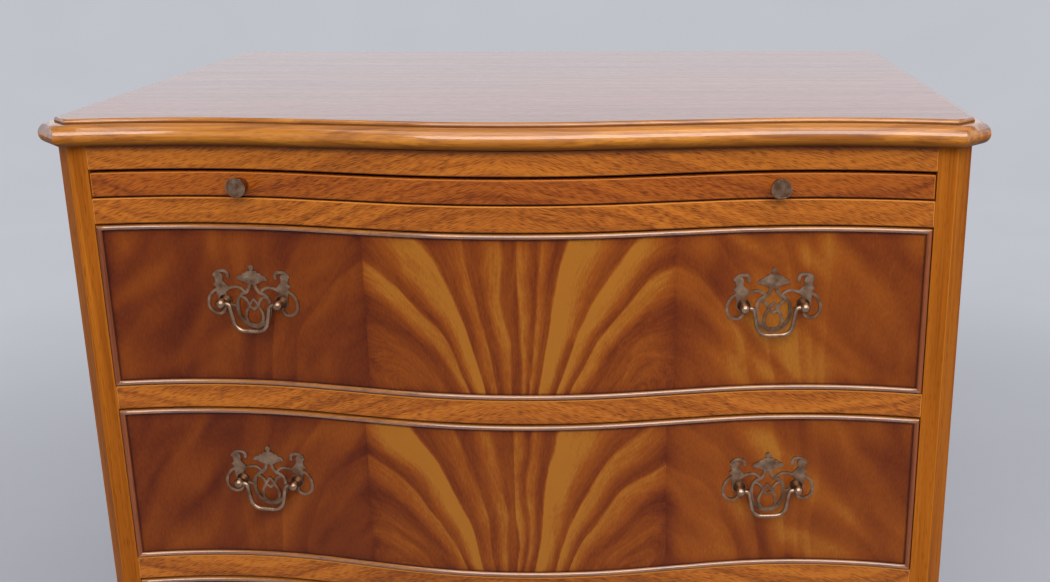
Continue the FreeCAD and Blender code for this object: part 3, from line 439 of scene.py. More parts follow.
def surfaced(material, shade, gloss, height, relief, constants):
    """Leads colour, roughness and relief to a material's shader, and sets what is the same all over it."""
    tree = material.node_tree
    shader = tree.nodes["Principled BSDF"]
    strength, depth = relief
    bump = add(tree, "ShaderNodeBump", named={"Strength": strength, "Distance": depth, "Height": height})
    for socket, source in (("Base Color", shade), ("Roughness", gloss), ("Normal", bump)):
        tree.links.new(source, shader.inputs[socket])
    for socket, value in constants.items():
        shader.inputs[socket].default_value = value
    return material


def polish(shine, coat, coat_rough):
    return {"Specular IOR Level": shine, "Coat Weight": coat, "Coat Roughness": coat_rough}


@cache
def wood(kind, axis):
    """One of the chest's woods with its grain along an axis."""
    label, tone, ring, run, contrast, fine, rough, coat, shine = WOODS[kind]
    main = tuple(getattr(bpy.context.scene.chest_colours, tone))
    material, place, board, arris, grime = blank(f"{label}_{axis}", "board", "arris", "grime")
    tree = material.node_tree
    along = add(tree, "ShaderNodeMapping", place, named={"Rotation": GRAIN_TURN[axis]})
    apart = add(tree, "ShaderNodeCombineXYZ", board, board, board)
    along = add(tree, "ShaderNodeVectorMath", along, apart, operation="ADD")
    # Long soft growth rings with fine streaks between them; pores, 0.2 mm wide in the real wood, are drawn
    # 0.9 mm wide and 12 mm long, so that they show
    rings = figured(tree, along, (run, ring, ring), 2.0, 0.5)
    streaks = figured(tree, along, (0.12, 1.6 * MM, 1.6 * MM), 1.0)
    pores = figured(tree, along, (12 * MM, 0.9 * MM, 0.9 * MM), 0.0)
    pores = add(tree, "ShaderNodeMapRange", pores, 0.60, 0.78, 0.0, 1.0)
    figure = add(tree, "ShaderNodeMix", named={0: fine, 2: rings, 3: streaks})
    # Boards differ a little in tone
    figure = add(tree, "ShaderNodeMath", board, 0.07, figure, operation="MULTIPLY_ADD")
    figure = add(tree, "ShaderNodeMath", figure, 0.03, operation="SUBTRACT")
    reach = 0.13 / contrast
    stops = [(0.5 - reach, tinted(main, DARK_STREAK)), (0.5, main), (0.5 + reach, tinted(main, LIGHT_STREAK))]
    shade = add(tree, "ShaderNodeValToRGB", figure, stops=stops)
    # Rubbed edges are a little paler, partly a painted highlight, and wax, dust and painted shade darken the
    # quirks of the mouldings and the edges that face down
    stains_and_painted_light = ((pores, 0.45, PORE_TINT), (arris, 0.6, WEAR_AND_HIGHLIGHT_TINT), (grime, 1.0, SHADE_AND_GRIME_TINT))
    shade = overlaid(tree, shade, main, stains_and_painted_light)
    gloss = add(tree, "ShaderNodeMapRange", streaks, 0.3, 0.7, rough - 0.05, rough + 0.07)
    gloss = add(tree, "ShaderNodeMath", pores, 0.15, gloss, operation="MULTIPLY_ADD")
    height = add(tree, "ShaderNodeMath", pores, -0.8, streaks, operation="MULTIPLY_ADD")
    return surfaced(material, shade, gloss, height, WOOD_RELIEF, polish(shine, coat, rough / 2))


@cache
def arched_wood(kind):
    """Mahogany sawn to the serpentine: the cut layers show as arches, with short dark pores."""
    main = tuple(getattr(bpy.context.scene.chest_colours, kind))
    material, place, arris, grime = blank(f"sawn_serpentine_mahogany_{kind}", "arris", "grime")
    tree = material.node_tree
    x, y, z = add(tree, "ShaderNodeSeparateXYZ", place).node.outputs
    # Layers 5 mm thick lean back and sway, and change from rail to rail
    sway = figured(tree, place, (0.08, 0.08, 0.08), 1.0)
    layer = add(tree, "ShaderNodeVectorMath", place, (0, 1, 0.42), operation="DOT_PRODUCT", out="Value")
    layer = add(tree, "ShaderNodeMath", sway, 9 * MM, layer, operation="MULTIPLY_ADD")
    level = add(tree, "ShaderNodeMath", z, 3.0, operation="MULTIPLY")
    layers = add(tree, "ShaderNodeCombineXYZ", layer, 0.0, level)
    layers = figured(tree, layers, (5 * MM, 1, 1), 2.0)
    # Pores are cut at a low angle, and are drawn as dashes 0.6 mm wide and 6 mm long, so that they show.
    # Like the arches, they lean down towards the ends of the rail.
    reach = add(tree, "ShaderNodeMath", x, operation="ABSOLUTE")
    lean = add(tree, "ShaderNodeMath", reach, 0.3, z, operation="MULTIPLY_ADD")
    pores = add(tree, "ShaderNodeCombineXYZ", x, y, lean)
    pores = figured(tree, pores, (6 * MM, 3 * MM, 0.6 * MM), 0.0)
    figure = add(tree, "ShaderNodeMix", named={0: 0.38, 2: layers, 3: pores})
    stops = [(0.36, tinted(main, DARK_STREAK)), (0.5, main), (0.62, tinted(main, LIGHT_STREAK))]
    shade = add(tree, "ShaderNodeValToRGB", figure, stops=stops)
    dashes = add(tree, "ShaderNodeMapRange", pores, 0.42, 0.28, 0.0, 0.45)
    # Painted shadow darkens the rail in the angle under the top
    under_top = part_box("top_rail")[1].z
    angle = add(tree, "ShaderNodeMapRange", z, under_top - TOP_SHADOW_DEPTH, under_top, 0.0, 1.0)
    grime = add(tree, "ShaderNodeMath", grime, angle, operation="MAXIMUM")
    # Upper edges of the rails carry a painted highlight, and their lower edges painted shade
    stains_and_painted_light = ((dashes, 1.0, PORE_TINT), (arris, 0.8, RAIL_EDGE_HIGHLIGHT_TINT), (grime, 1.0, SHADE_AND_GRIME_TINT))
    shade = overlaid(tree, shade, main, stains_and_painted_light)
    gloss = add(tree, "ShaderNodeMapRange", pores, 0.3, 0.7, 0.42, 0.30)
    return surfaced(material, shade, gloss, pores, WOOD_RELIEF, polish(0.15, 0.1, 0.2))


def plume_stops(side):
    """Stops of a grey ramp across one leaf: each plume rises at once and fades outwards."""
    stops = [(0.0, 0.0)]
    for begin, faded, strength in PLUMES[side]:
        stops += [(begin - PLUME_EDGE, 0.0), (begin + PLUME_EDGE, strength),
                  ((begin + faded) / 2, PLUME_BODY * strength), (faded, 0.0)]
    stops = [(place / FAN_SPAN, PLUME_GROUND + rise) for place, rise in (*stops, *PAST_PLUMES)]
    return [(place, (level, level, level, 1.0)) for place, level in stops]


def flame_veneer(number):
    """Crotch mahogany cut thin and book-matched: plumes and swirls of gold under a warm shine."""
    tones = bpy.context.scene.chest_colours
    material, place, leaf, tone, lively, right_side, grime = blank(
        f"flame_mahogany_veneer_{number}", "leaf", "tone", "lively", "right_side", "grime")
    tree = material.node_tree
    fan_map = add(tree, "ShaderNodeUVMap", uv_map="figure")
    across, along, _ = add(tree, "ShaderNodeSeparateXYZ", fan_map).node.outputs
    flow = add(tree, "ShaderNodeCombineXYZ", across, along, leaf)
    # Broad plumes, streaks and threads follow the fan, with their sizes in its own coordinates
    plumes = figured(tree, flow, (1 / 3.4, 1 / 0.9, 1), 2.0, 0.9)
    streaks = figured(tree, flow, (1 / 11, 1 / 1.6, 1), 2.0, 0.6)
    threads = figured(tree, flow, (1 / 50, 1 / 6, 1), 1.0)
    # Pores stand on end in a crotch: specks drawn 1.2 mm wide so that they show
    pores = figured(tree, place, (1.2 * MM, 1.2 * MM, 4 * MM), 0.0)
    # The leaf's own plumes, with feathered edges
    edges = add(tree, "ShaderNodeMath", streaks, 0.05, across, operation="MULTIPLY_ADD")
    edges = add(tree, "ShaderNodeMath", edges, FAN_SPAN, operation="DIVIDE")
    left, right = [add(tree, "ShaderNodeValToRGB", edges, stops=plume_stops(side)) for side in SIDES.values()]
    bands = add(tree, "ShaderNodeMix", named={0: right_side, MIX_A: left, MIX_B: right}, data_type="RGBA",
                out=MIX_OUT)
    # Each figure sits about the middle of its range; the start takes that off, so that tone is the middle
    value = -0.96
    for figure, weight in ((plumes, 0.5), (streaks, 0.20), (threads, 0.26), (bands, 1.0)):
        value = add(tree, "ShaderNodeMath", figure, weight, value, operation="MULTIPLY_ADD")
    value = add(tree, "ShaderNodeMath", value, lively, tone, operation="MULTIPLY_ADD")
    value = add(tree, "ShaderNodeMath", pores, 0.16, value, operation="MULTIPLY_ADD")
    stops = [(0.05, tones.flame_dark), (0.30, tones.flame_brown), (0.53, tones.flame_mid),
             (0.78, tones.flame_gold), (1.0, tones.flame_light)]
    shade = add(tree, "ShaderNodeValToRGB", value, stops=stops)
    # Painted shade darkens the corner along the beads
    shade = overlaid(tree, shade, tones.flame_dark, ((grime, 1.0, (0.45, 0.5, 0.6)),))
    gloss = add(tree, "ShaderNodeMapRange", streaks, 0.3, 0.7, 0.40, 0.30)
    return surfaced(material, shade, gloss, pores, VENEER_RELIEF, polish(0.2, 0.2, 0.2))


@cache
def aged_metal(kind):
    """Brown tarnish or rust in the flats, rubbed bright where hands and cloths reach the metal; edges that
    face up are paler as a painted highlight and those that face down darker as painted shade.
    """
    name, worn, rough = METALS[kind]
    tones = bpy.context.scene.chest_colours
    material, place, arris, grime = blank(name, "arris", "grime")
    tree = material.node_tree
    # Patches of tarnish about 7 mm across, with grains of 0.8 mm
    patches = figured(tree, place, (7 * MM, 7 * MM, 7 * MM), 3.0)
    grains = figured(tree, place, (0.8 * MM, 0.8 * MM, 0.8 * MM), 1.0)
    wear_and_painted_light = add(tree, "ShaderNodeMapRange", patches, 0.3, 0.75, worn - 0.1, worn + 0.12)
    # Edges facing up brighten, wear and a painted highlight; edges facing down darken, painted shade
    for mark, weight in ((arris, 0.9), (grime, -0.7), (grains, 0.12)):
        wear_and_painted_light = add(tree, "ShaderNodeMath", mark, weight, wear_and_painted_light, operation="MULTIPLY_ADD")
    deep = tinted(tones.brass_dark, (0.6, 0.55, 0.5))
    stops = [(0.0, deep), (0.45, tones.brass_dark), (1.0, tones.brass_worn)]
    shade = add(tree, "ShaderNodeValToRGB", wear_and_painted_light, stops=stops)
    gloss = add(tree, "ShaderNodeMapRange", wear_and_painted_light, 0.0, 1.0, rough + 0.15, rough)
    return surfaced(material, shade, gloss, grains, METAL_RELIEF, {"Metallic": 1.0})


def backdrop_paint():
    """Matt emulsion: even, pale and faintly mottled."""
    material, place = blank("matt_emulsion")
    tree = material.node_tree
    shader = tree.nodes["Principled BSDF"]
    main = tuple(bpy.context.scene.chest_stage.backdrop)
    mottle = figured(tree, place, (0.4, 0.4, 0.4), 2.0)
    stops = [(0.3, tinted(main, (0.97, 0.97, 0.97))), (0.7, main)]
    shade = add(tree, "ShaderNodeValToRGB", mottle, stops=stops)
    tree.links.new(shade, shader.inputs["Base Color"])
    shader.inputs["Roughness"].default_value = 0.9
    # Away from the chest's shadow the paint shows at its own colour to the camera and in shiny surfaces
    rays = add(tree, "ShaderNodeLightPath").node.outputs
    seen = rays["Is Camera Ray"]
    for ray in ("Is Glossy Ray", "Is Transmission Ray"):
        seen = add(tree, "ShaderNodeMath", seen, rays[ray], operation="MAXIMUM")
    away = add(tree, "ShaderNodeVectorMath", place, operation="LENGTH", out="Value")
    away = add(tree, "ShaderNodeMapRange", away, SHADOW_NEAR, SHADOW_FAR, 0.0, 1.0,
               interpolation_type="SMOOTHSTEP")
    share = add(tree, "ShaderNodeMath", seen, away, operation="MULTIPLY")
    glow = add(tree, "ShaderNodeEmission", shade, 1.0)
    mixed = add(tree, "ShaderNodeMixShader", share, shader.outputs[0], glow)
    tree.links.new(mixed, tree.nodes["Material Output"].inputs["Surface"])
    return material


def spread(low, high, count):
    """Evenly spaced numbers with both ends."""
    return [low + (high - low) * index / (count - 1) for index in range(count)]


def arc(centre, radius, begin, end, count):
    """Points of an arc from one angle to another, in degrees."""
    angles = [math.radians(angle) for angle in spread(begin, end, count)]
    return [(centre[0] + radius * math.cos(a), centre[1] + radius * math.sin(a)) for a in angles]


def mitred(corner, before, after, out):
    """A corner moved outwards along its mitre."""
    first = Vector((before.y, -before.x, 0))
    second = Vector((after.y, -after.x, 0))
    return corner + (first + second) * (out / (1 + first.dot(second)))


class FrontLine:
    """The serpentine front in plan for one rise, with its canted corners."""

    def __init__(self, rise):
        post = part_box("corner_post_right")[0]
        self.half = post.x
        self.dip = post.y + HOLLOW_R - math.sqrt(HOLLOW_R ** 2 - (self.half - HOLLOW_X) ** 2)
        self.hollow_y = self.dip - HOLLOW_R
        self.crest_y = self.dip - rise + CREST_R
        drop = self.hollow_y - self.crest_y
        self.turn = math.atan2(drop, HOLLOW_X) + math.asin((CREST_R + HOLLOW_R) / math.hypot(HOLLOW_X, drop))
        self.crest_end = CREST_R * math.sin(self.turn)
        self.hollow_start = HOLLOW_X - HOLLOW_R * math.sin(self.turn)

    def normal(self, x):
        """Way out of the front at a place right of the middle."""
        if x < self.crest_end:
            return Vector((x, -math.sqrt(CREST_R ** 2 - x ** 2), 0)) / CREST_R
        if x < self.hollow_start:
            return Vector((math.sin(self.turn), -math.cos(self.turn), 0))
        return Vector((HOLLOW_X - x, -math.sqrt(HOLLOW_R ** 2 - (x - HOLLOW_X) ** 2), 0)) / HOLLOW_R

    def point(self, x, out=0.0):
        """Point of the line at x, moved out of the front along its own normal."""
        place = abs(x)
        normal = self.normal(place)
        if place < self.crest_end:
            y = self.crest_y + normal.y * CREST_R
        elif place < self.hollow_start:
            y = self.crest_y - CREST_R * math.cos(self.turn) + (place - self.crest_end) * math.tan(self.turn)
        else:
            y = self.hollow_y - normal.y * HOLLOW_R
        return Vector((math.copysign(place + normal.x * out, x), y + normal.y * out, 0))

    def outline(self, out, back_y):
        """Closed plan of the chest moved outwards: front, canted corners, sides and straight back."""
        post_low, post_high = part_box("corner_post_right")
        tail = Vector((-self.normal(self.half).y, self.normal(self.half).x, 0))
        cant = Vector((1, 1, 0)).normalized()
        side = Vector((post_high.x, post_low.y + post_high.x - self.half - POST_FACE, 0))
        gap = Vector((self.half + POST_FACE, post_low.y, 0)) - self.point(self.half)
        corner = self.point(self.half) + tail * (gap.cross(cant).z / tail.cross(cant).z)
        right = [mitred(corner, tail, cant, out), mitred(side, cant, Vector((0, 1, 0)), out)]
        right.append(Vector((right[-1].x, back_y, 0)))
        front = [self.point(x, out) for x in spread(-self.half, self.half, FRONT_STEPS)]
        return [Vector((-p.x, p.y, 0)) for p in reversed(right)] + front + right


def skin(shape, first, second):
    """Closes the strip between two rings of vertices."""
    rows = zip(first, first[1:] + first[:1], second[1:] + second[:1], second)
    return [shape.faces.new(corners) for corners in rows]


def marked(shape, *names):
    """New numbers for the faces of a shape to carry."""
    return [shape.faces.layers.float.new(name) for name in names]


def meshed(name, shape):
    """A mesh of a finished shape."""
    mesh = bpy.data.meshes.new(name)
    shape.to_mesh(mesh)
    shape.free()
    return mesh


def linked(name, data):
    """A new object in the scene."""
    made = bpy.data.objects.new(name, data)
    bpy.context.scene.collection.objects.link(made)
    return made


def finished(name, shape, finishes, body, stands_for=None):
    """Makes a piece from a bmesh: smooth where it curves, flat faces kept flat, riding on its body."""
    mesh = meshed(name, shape)
    for finish in finishes:
        mesh.materials.append(finish)
    mesh.shade_smooth()
    mesh.set_sharp_from_angle(angle=SHARP_ANGLE)
    piece = linked(name, mesh)
    weighted = piece.modifiers.new("weighted_normals", "WEIGHTED_NORMAL")
    weighted.keep_sharp = True
    return settled(piece, body, stands_for)


def settled(piece, body, stands_for=None):
    """Turns a piece's modifiers into plain mesh, then ties it to its body, and hides the node it stands for.
    """
    graph = bpy.context.evaluated_depsgraph_get()
    mesh = bpy.data.meshes.new_from_object(piece.evaluated_get(graph))
    if piece.type == "MESH":
        piece.modifiers.clear()
        piece.data = mesh
    else:
        name = piece.name
        bpy.data.objects.remove(piece)
        piece = linked(name, mesh)
    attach(piece, body)
    if stands_for:
        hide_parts(stands_for)
    return piece


def closed_solids(mesh):
    """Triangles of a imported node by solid: a solid ends where all its edges so far are closed."""
    numbers = {}
    ids = [numbers.setdefault(tuple(round(c * 1e6) for c in v.co), len(numbers)) for v in mesh.vertices]
    points = [Vector(key) / 1e6 for key in numbers]
    triangles, open_edges = [], set()
    for polygon in mesh.polygons:
        corners = [ids[v] for v in polygon.vertices]
        if len(set(corners)) < 3:
            continue
        triangles.append(corners)
        for start, end in zip(corners, corners[1:] + corners[:1]):
            if (end, start) in open_edges:
                open_edges.remove((end, start))
            else:
                open_edges.add((start, end))
        if not open_edges:
            yield points, triangles
            triangles = []
    if triangles:
        yield points, triangles


def eased_solid(points, triangles, width, wear_and_highlight_share):
    """One solid with its edges eased: paler where they face up or out, from rubbing and a painted highlight,
    and darker where they face down, a painted shade.
    """
    shape = bmesh.new()
    corners = {index: shape.verts.new(points[index]) for index in sorted({i for t in triangles for i in t})}
    for triangle in triangles:
        shape.faces.new([corners[index] for index in triangle])
    bmesh.ops.dissolve_limit(shape, angle_limit=FLAT_ANGLE, verts=shape.verts, edges=shape.edges)
    arris, grime, _ = marked(shape, "arris", "grime", "board")
    if width:
        sharp = [e for e in shape.edges if e.is_convex and e.calc_face_angle(0) > ARRIS_ANGLE]
        rounded = bmesh.ops.bevel(shape, geom=sharp, offset=width, segments=2, profile=0.5, affect="EDGES",
                                  clamp_overlap=True)
        shape.normal_update()
        # Eased faces that look down carry painted shade; the rest are paled, rubbing and a painted highlight
        for face in rounded["faces"]:
            low_edge = face.normal.z < -UNDER_EDGE
            face[arris] = 0.0 if low_edge else wear_and_highlight_share
            face[grime] = UNDER_EDGE_SHADE if low_edge else 0.0
    return shape


def eased(node, width, finish, wear_and_highlight_share=1.0):
    """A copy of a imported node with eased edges, in one finish or in a wood, its grain along each solid."""
    whole = bmesh.new()
    finishes = []
    body = frame["nodes"][node]["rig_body"]
    for number, (points, triangles) in enumerate(closed_solids(frame["nodes"][node].data)):
        shape = eased_solid(points, triangles, width, wear_and_highlight_share)
        low, high = [Vector(end(v.co[axis] for v in shape.verts) for axis in range(3)) for end in (min, max)]
        size = high - low
        longest = max(range(3), key=lambda axis: size[axis])
        cladding = wood(finish, "xyz"[longest]) if isinstance(finish, str) else finish
        if cladding not in finishes:
            finishes.append(cladding)
        board = shape.faces.layers.float["board"]
        for face in shape.faces:
            face.material_index = finishes.index(cladding)
            face[board] = (number * SOLID_STEP + len(node) * NAME_STEP) % 1
        part = meshed("solid", shape)
        whole.from_mesh(part)
        bpy.data.meshes.remove(part)
    return finished(f"{node}_finished", whole, finishes, body, node)


def top_board():
    """The top, as rings of its plan carried down through the moulded edge."""
    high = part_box("top")[1]
    line = FrontLine(TOP_RISE)
    step = TOP_BEAD_R - TOP_FLAT_INSET
    ledge = -TOP_BEAD_R - TOP_QUIRK
    ovolo = (step + TOP_LEDGE, ledge - TOP_OVOLO_R)
    nose = ovolo[0] + TOP_OVOLO_R
    profile = arc((-TOP_FLAT_INSET, -TOP_BEAD_R), TOP_BEAD_R, 90, 0, TOP_BEAD_STEPS)
    profile += [(step, ledge)] + arc(ovolo, TOP_OVOLO_R, 90, 0, TOP_OVOLO_STEPS)
    profile += arc((nose - TOP_LOWER_R, ovolo[1]), TOP_LOWER_R, 0, -90, TOP_LOWER_STEPS)[1:]
    shape = bmesh.new()
    rings = [[shape.verts.new((p.x, p.y, high.z + rise)) for p in line.outline(out, high.y)]
             for out, rise in profile]
    grime, arris = marked(shape, "grime", "arris")
    for row, (first, second) in enumerate(zip(rings, rings[1:])):
        for face in skin(shape, first, second):
            face.material_index = UNDER if row in TOP_DULL else EDGE
            # Painted shade on the quirk and under the nose, and a painted highlight on the nose
            face[grime] = TOP_WAX_AND_SHADE.get(row, 0.0)
            face[arris] = TOP_NOSE_HIGHLIGHT.get(row, 0.0)
    shape.faces.new(rings[0]).material_index = FIELD
    shape.faces.new(list(reversed(rings[-1]))).material_index = UNDER
    bmesh.ops.recalc_face_normals(shape, faces=shape.faces)
    finished("top_board", shape, [wood(kind, "x") for kind in TOP_WOODS], "carcass", "top")


def cockbead(number):
    """Half-round bead round one drawer front, mitred at its corners."""
    node = f"drawer_{number}_cockbead"
    low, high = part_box(node)
    line = FrontLine(CARCASS_RISE)
    nose = BEAD_W / 2
    rows = [(nose - c, s) for c, s in arc((0, 0), nose, 0, 180, BEAD_STEPS)]
    rows = [(0, -BEAD_DEPTH)] + rows + [(BEAD_W, -BEAD_DEPTH)]
    shape = bmesh.new()
    rings = []
    for inset, out in rows:
        half = high.x - inset
        plan = [line.point(x, out) for x in spread(-half, half, FRONT_STEPS)]
        plan[0].x, plan[-1].x = -half, half
        ring = [shape.verts.new((p.x, p.y, low.z + inset)) for p in plan]
        ring += [shape.verts.new((p.x, p.y, high.z - inset)) for p in reversed(plan)]
        rings.append(ring)
    for first, second in zip(rings, rings[1:] + rings[:1]):
        faces = skin(shape, first, second)
        for index in (FRONT_STEPS - 1, 2 * FRONT_STEPS - 1):
            faces[index].material_index = 1
    bmesh.ops.recalc_face_normals(shape, faces=shape.faces)
    # Upward faces of the bead are paled as a painted highlight, downward faces darkened as painted shade
    arris, grime = marked(shape, "arris", "grime")
    for face in shape.faces:
        face[arris] = BEAD_TOP_HIGHLIGHT * max(0.0, face.normal.z)
        face[grime] = max(0.0, -face.normal.z)
    finishes = [wood("bead", "x"), wood("upright", "z")]
    finished(f"drawer_{number}_bead_frame", shape, finishes, f"drawer_{number}", node)


def fan(place, height):
    """Fan coordinates of a leaf: across the plumes, and along them."""
    below = height + FAN_BELOW
    near = (place - FAN_REACH) ** 2 + below ** 2
    far = (place + FAN_REACH) ** 2 + below ** 2
    along = math.atan2(2 * FAN_REACH * below, place ** 2 + below ** 2 - FAN_REACH ** 2)
    return 0.5 * math.log(far / near), along


def clouds(place, height, seed):
    """Slanting clouds of an outer leaf, swirled, with smaller ones in them."""
    cloud = Vector(((CLOUD_COS * place - CLOUD_SIN * height) / CLOUD_W,
                    (CLOUD_SIN * place + CLOUD_COS * height) / CLOUD_L, seed))
    swirl = cloud * SWIRL_SCALE
    cloud += SWIRL * Vector((noise.noise(swirl), noise.noise(swirl + SWIRL_SHIFT), 0))
    return noise.noise(cloud) + SMALL_CLOUDS * noise.noise(SMALL_SCALE * cloud)


def veneer_figure(number, x, height, half, tall, inner_x):
    """Fan coordinates, leaf, tone and liveliness of a place on a veneer of a half width and a height."""
    centre, shift = MATCH[number]
    side = -1 if inner_x < centre else 1
    outer = abs(inner_x - centre) > LEAF_W
    place = abs(x - centre)
    if outer:
        place = 2 * LEAF_W - place
    seed = number * DRAWER_SEED + side * SIDE_SEED
    drift = Vector((place / BEND_W, height / BEND_H, seed))
    place += WANDER_ACROSS * noise.noise(drift)
    rise = height + WANDER_UP * noise.noise(drift + RISE_SHIFT)
    if not outer:
        place *= 1 + FAN_GATHER * (1 - height / tall) ** 3
    across, along = fan(place, rise)
    calm = 1 - SEAM_LIVELY * math.exp(-(LEAF_W - place) / SEAM_LIVELY_REACH) if outer else 0.0
    # The right leaves are painted lighter than the left, as painted light from the right
    inner_tone, outer_tone = LEAF_TONE_AND_SIDE_LIGHT[side]
    tone = inner_tone + (outer_tone - inner_tone) * calm
    tone += calm * CLOUDS[side] * clouds(place, height, seed + CLOUD_SEED)
    tone -= SEAM_DARK * math.exp(-abs(abs(x - centre) - LEAF_W) / SEAM_REACH)
    # Painted shade along the beads
    rim = max(min(height, tall - height, half - abs(x)), 0)
    tone -= RIM_SHADE * math.exp(-rim / RIM_REACH)
    return across * (1 - shift), along, side + number * LEAF_STEP, tone, 1 - CALMED * calm


def veneer(number):
    """Four leaves of veneer laid on one drawer front."""
    low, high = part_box(f"drawer_{number}_front")
    line = FrontLine(CARCASS_RISE)
    reach = BEAD_W - VENEER_UNDER_BEAD
    half = high.x - reach
    centre = MATCH[number][0]
    seams = [-half, centre - LEAF_W, centre, centre + LEAF_W, half]
    columns = [-half]
    for start, end in zip(seams, seams[1:]):
        columns += spread(start, end, round((end - start) / VENEER_CELL) + 1)[1:]
    tall = high.z - low.z - 2 * reach
    rows = [0] + spread(VENEER_CELL, tall - VENEER_CELL, round(tall / (2 * VENEER_CELL))) + [tall]
    shape = bmesh.new()
    fan_map = shape.loops.layers.uv.new("figure")
    floats = shape.loops.layers.float
    tone_map, lively_map, rim_shade_map = [floats.new(name) for name in ("tone", "lively", "grime")]
    leaf_map, side_map = marked(shape, "leaf", "right_side")
    grid = []
    for x in columns:
        point = line.point(x, VENEER_PROUD)
        grid.append([shape.verts.new((x, point.y, low.z + reach + rise)) for rise in rows])
    for index in range(len(columns) - 1):
        inner_x = (columns[index] + columns[index + 1]) / 2
        for level in range(len(rows) - 1):
            corners = [(index, level), (index + 1, level), (index + 1, level + 1), (index, level + 1)]
            face = shape.faces.new([grid[i][j] for i, j in corners])
            for loop, (i, j) in zip(face.loops, corners):
                figure = veneer_figure(number, columns[i], rows[j], half, tall, inner_x)
                across, along, face[leaf_map], loop[tone_map], loop[lively_map] = figure
                loop[fan_map].uv = (across, along)
                # Border cells along the beads carry painted shade
                loop[rim_shade_map] = float(i in (0, len(columns) - 1) or j in (0, len(rows) - 1))
            face[side_map] = float(inner_x > centre)
    bmesh.ops.solidify(shape, geom=shape.faces[:], thickness=VENEER_T)
    bmesh.ops.recalc_face_normals(shape, faces=shape.faces)
    finished(f"drawer_{number}_veneer", shape, [flame_veneer(number)], f"drawer_{number}")


def opened(name, places, size):
    """A new tree of geometry nodes that grows something on its places, with a size and a finish."""
    tree = bpy.data.node_groups.new(name, "GeometryNodeTree")
    for label, kind in ((places, "Geometry"), (size, "Float"), ("Finish", "Material")):
        tree.interface.new_socket(label, in_out="INPUT", socket_type=f"NodeSocket{kind}")
    tree.interface.new_socket("Grown", in_out="OUTPUT", socket_type="NodeSocketGeometry")
    return tree, add(tree, "NodeGroupInput").node.outputs[:3]


def closed(tree, made, finish):
    """Ends a tree: what it made is smooth, real and in its finish."""
    for kind in ("GeometryNodeSetShadeSmooth", "GeometryNodeRealizeInstances"):
        made = add(tree, kind, made)
    made = add(tree, "GeometryNodeSetMaterial", made, named={"Material": finish})
    add(tree, "NodeGroupOutput", made)
    return tree


def wire_tree():
    """Geometry nodes that draw a round wire along a path."""
    tree, (path, radius, finish) = opened("bail_wire", "Path", "Wire radius")
    sizes = {"Resolution": WIRE_SIDES, "Radius": radius}
    section = add(tree, "GeometryNodeCurvePrimitiveCircle", named=sizes)
    wire = add(tree, "GeometryNodeCurveToMesh", path, section, named={"Fill Caps": True})
    return closed(tree, wire, finish)


def studs_tree():
    """Geometry nodes that set one turned head on each point of a mesh."""
    tree, (places, radius, finish) = opened("nail_heads", "Places", "Head radius")
    ball = add(tree, "GeometryNodeMeshUVSphere", named={"Segments": 10, "Rings": 6, "Radius": radius})
    flat = add(tree, "GeometryNodeTransform", ball, named={"Scale": (1, NAIL_FLAT, 1)})
    size = add(tree, "FunctionNodeRandomValue", named={2: NAIL_SIZES[0], 3: NAIL_SIZES[1], "Seed": 4}, out=1)
    heads = add(tree, "GeometryNodeInstanceOnPoints", places, named={"Instance": flat, "Scale": size})
    return closed(tree, heads, finish)


def grown(piece, tree, values):
    """Puts a node tree on an object and sets its inputs by their identifiers."""
    modifier = piece.modifiers.new(tree.name, "NODES")
    modifier.node_group = tree
    for item in tree.interface.items_tree:
        if item.in_out == "INPUT" and item.name in values:
            modifier[item.identifier] = values[item.name]


def bail_path():
    """Half of the bail's line, from the pin in the ball to the middle of the foot, across and up."""
    top = POST_HALF - BALL_R - BAIL_SHOULDER
    lean = math.degrees(BAIL_LEAN)
    neck = arc((top, -BAIL_NECK_R), BAIL_NECK_R, 90, 180 - lean, BAIL_NECK_STEPS)
    neck_u, neck_v = neck[-1]
    corner_v = BAIL_CORNER_R - BAIL_DROP
    ankle_v = corner_v - BAIL_CORNER_R * math.sin(BAIL_LEAN)
    ankle_u = neck_u - (neck_v - ankle_v) * math.tan(BAIL_LEAN)
    foot_u = ankle_u - BAIL_CORNER_R * math.cos(BAIL_LEAN)
    leg = [(neck_u + (ankle_u - neck_u) * share, neck_v + (ankle_v - neck_v) * share)
           for share in BAIL_LEG_SHARES]
    foot = arc((foot_u, corner_v), BAIL_CORNER_R, -lean, -90, BAIL_CORNER_STEPS)
    pin = [(POST_HALF + PIN_REACH, 0.0), (top + BAIL_SHOULDER, 0.0)]
    return pin + neck + leg + foot + [(0.0, -BAIL_DROP)]


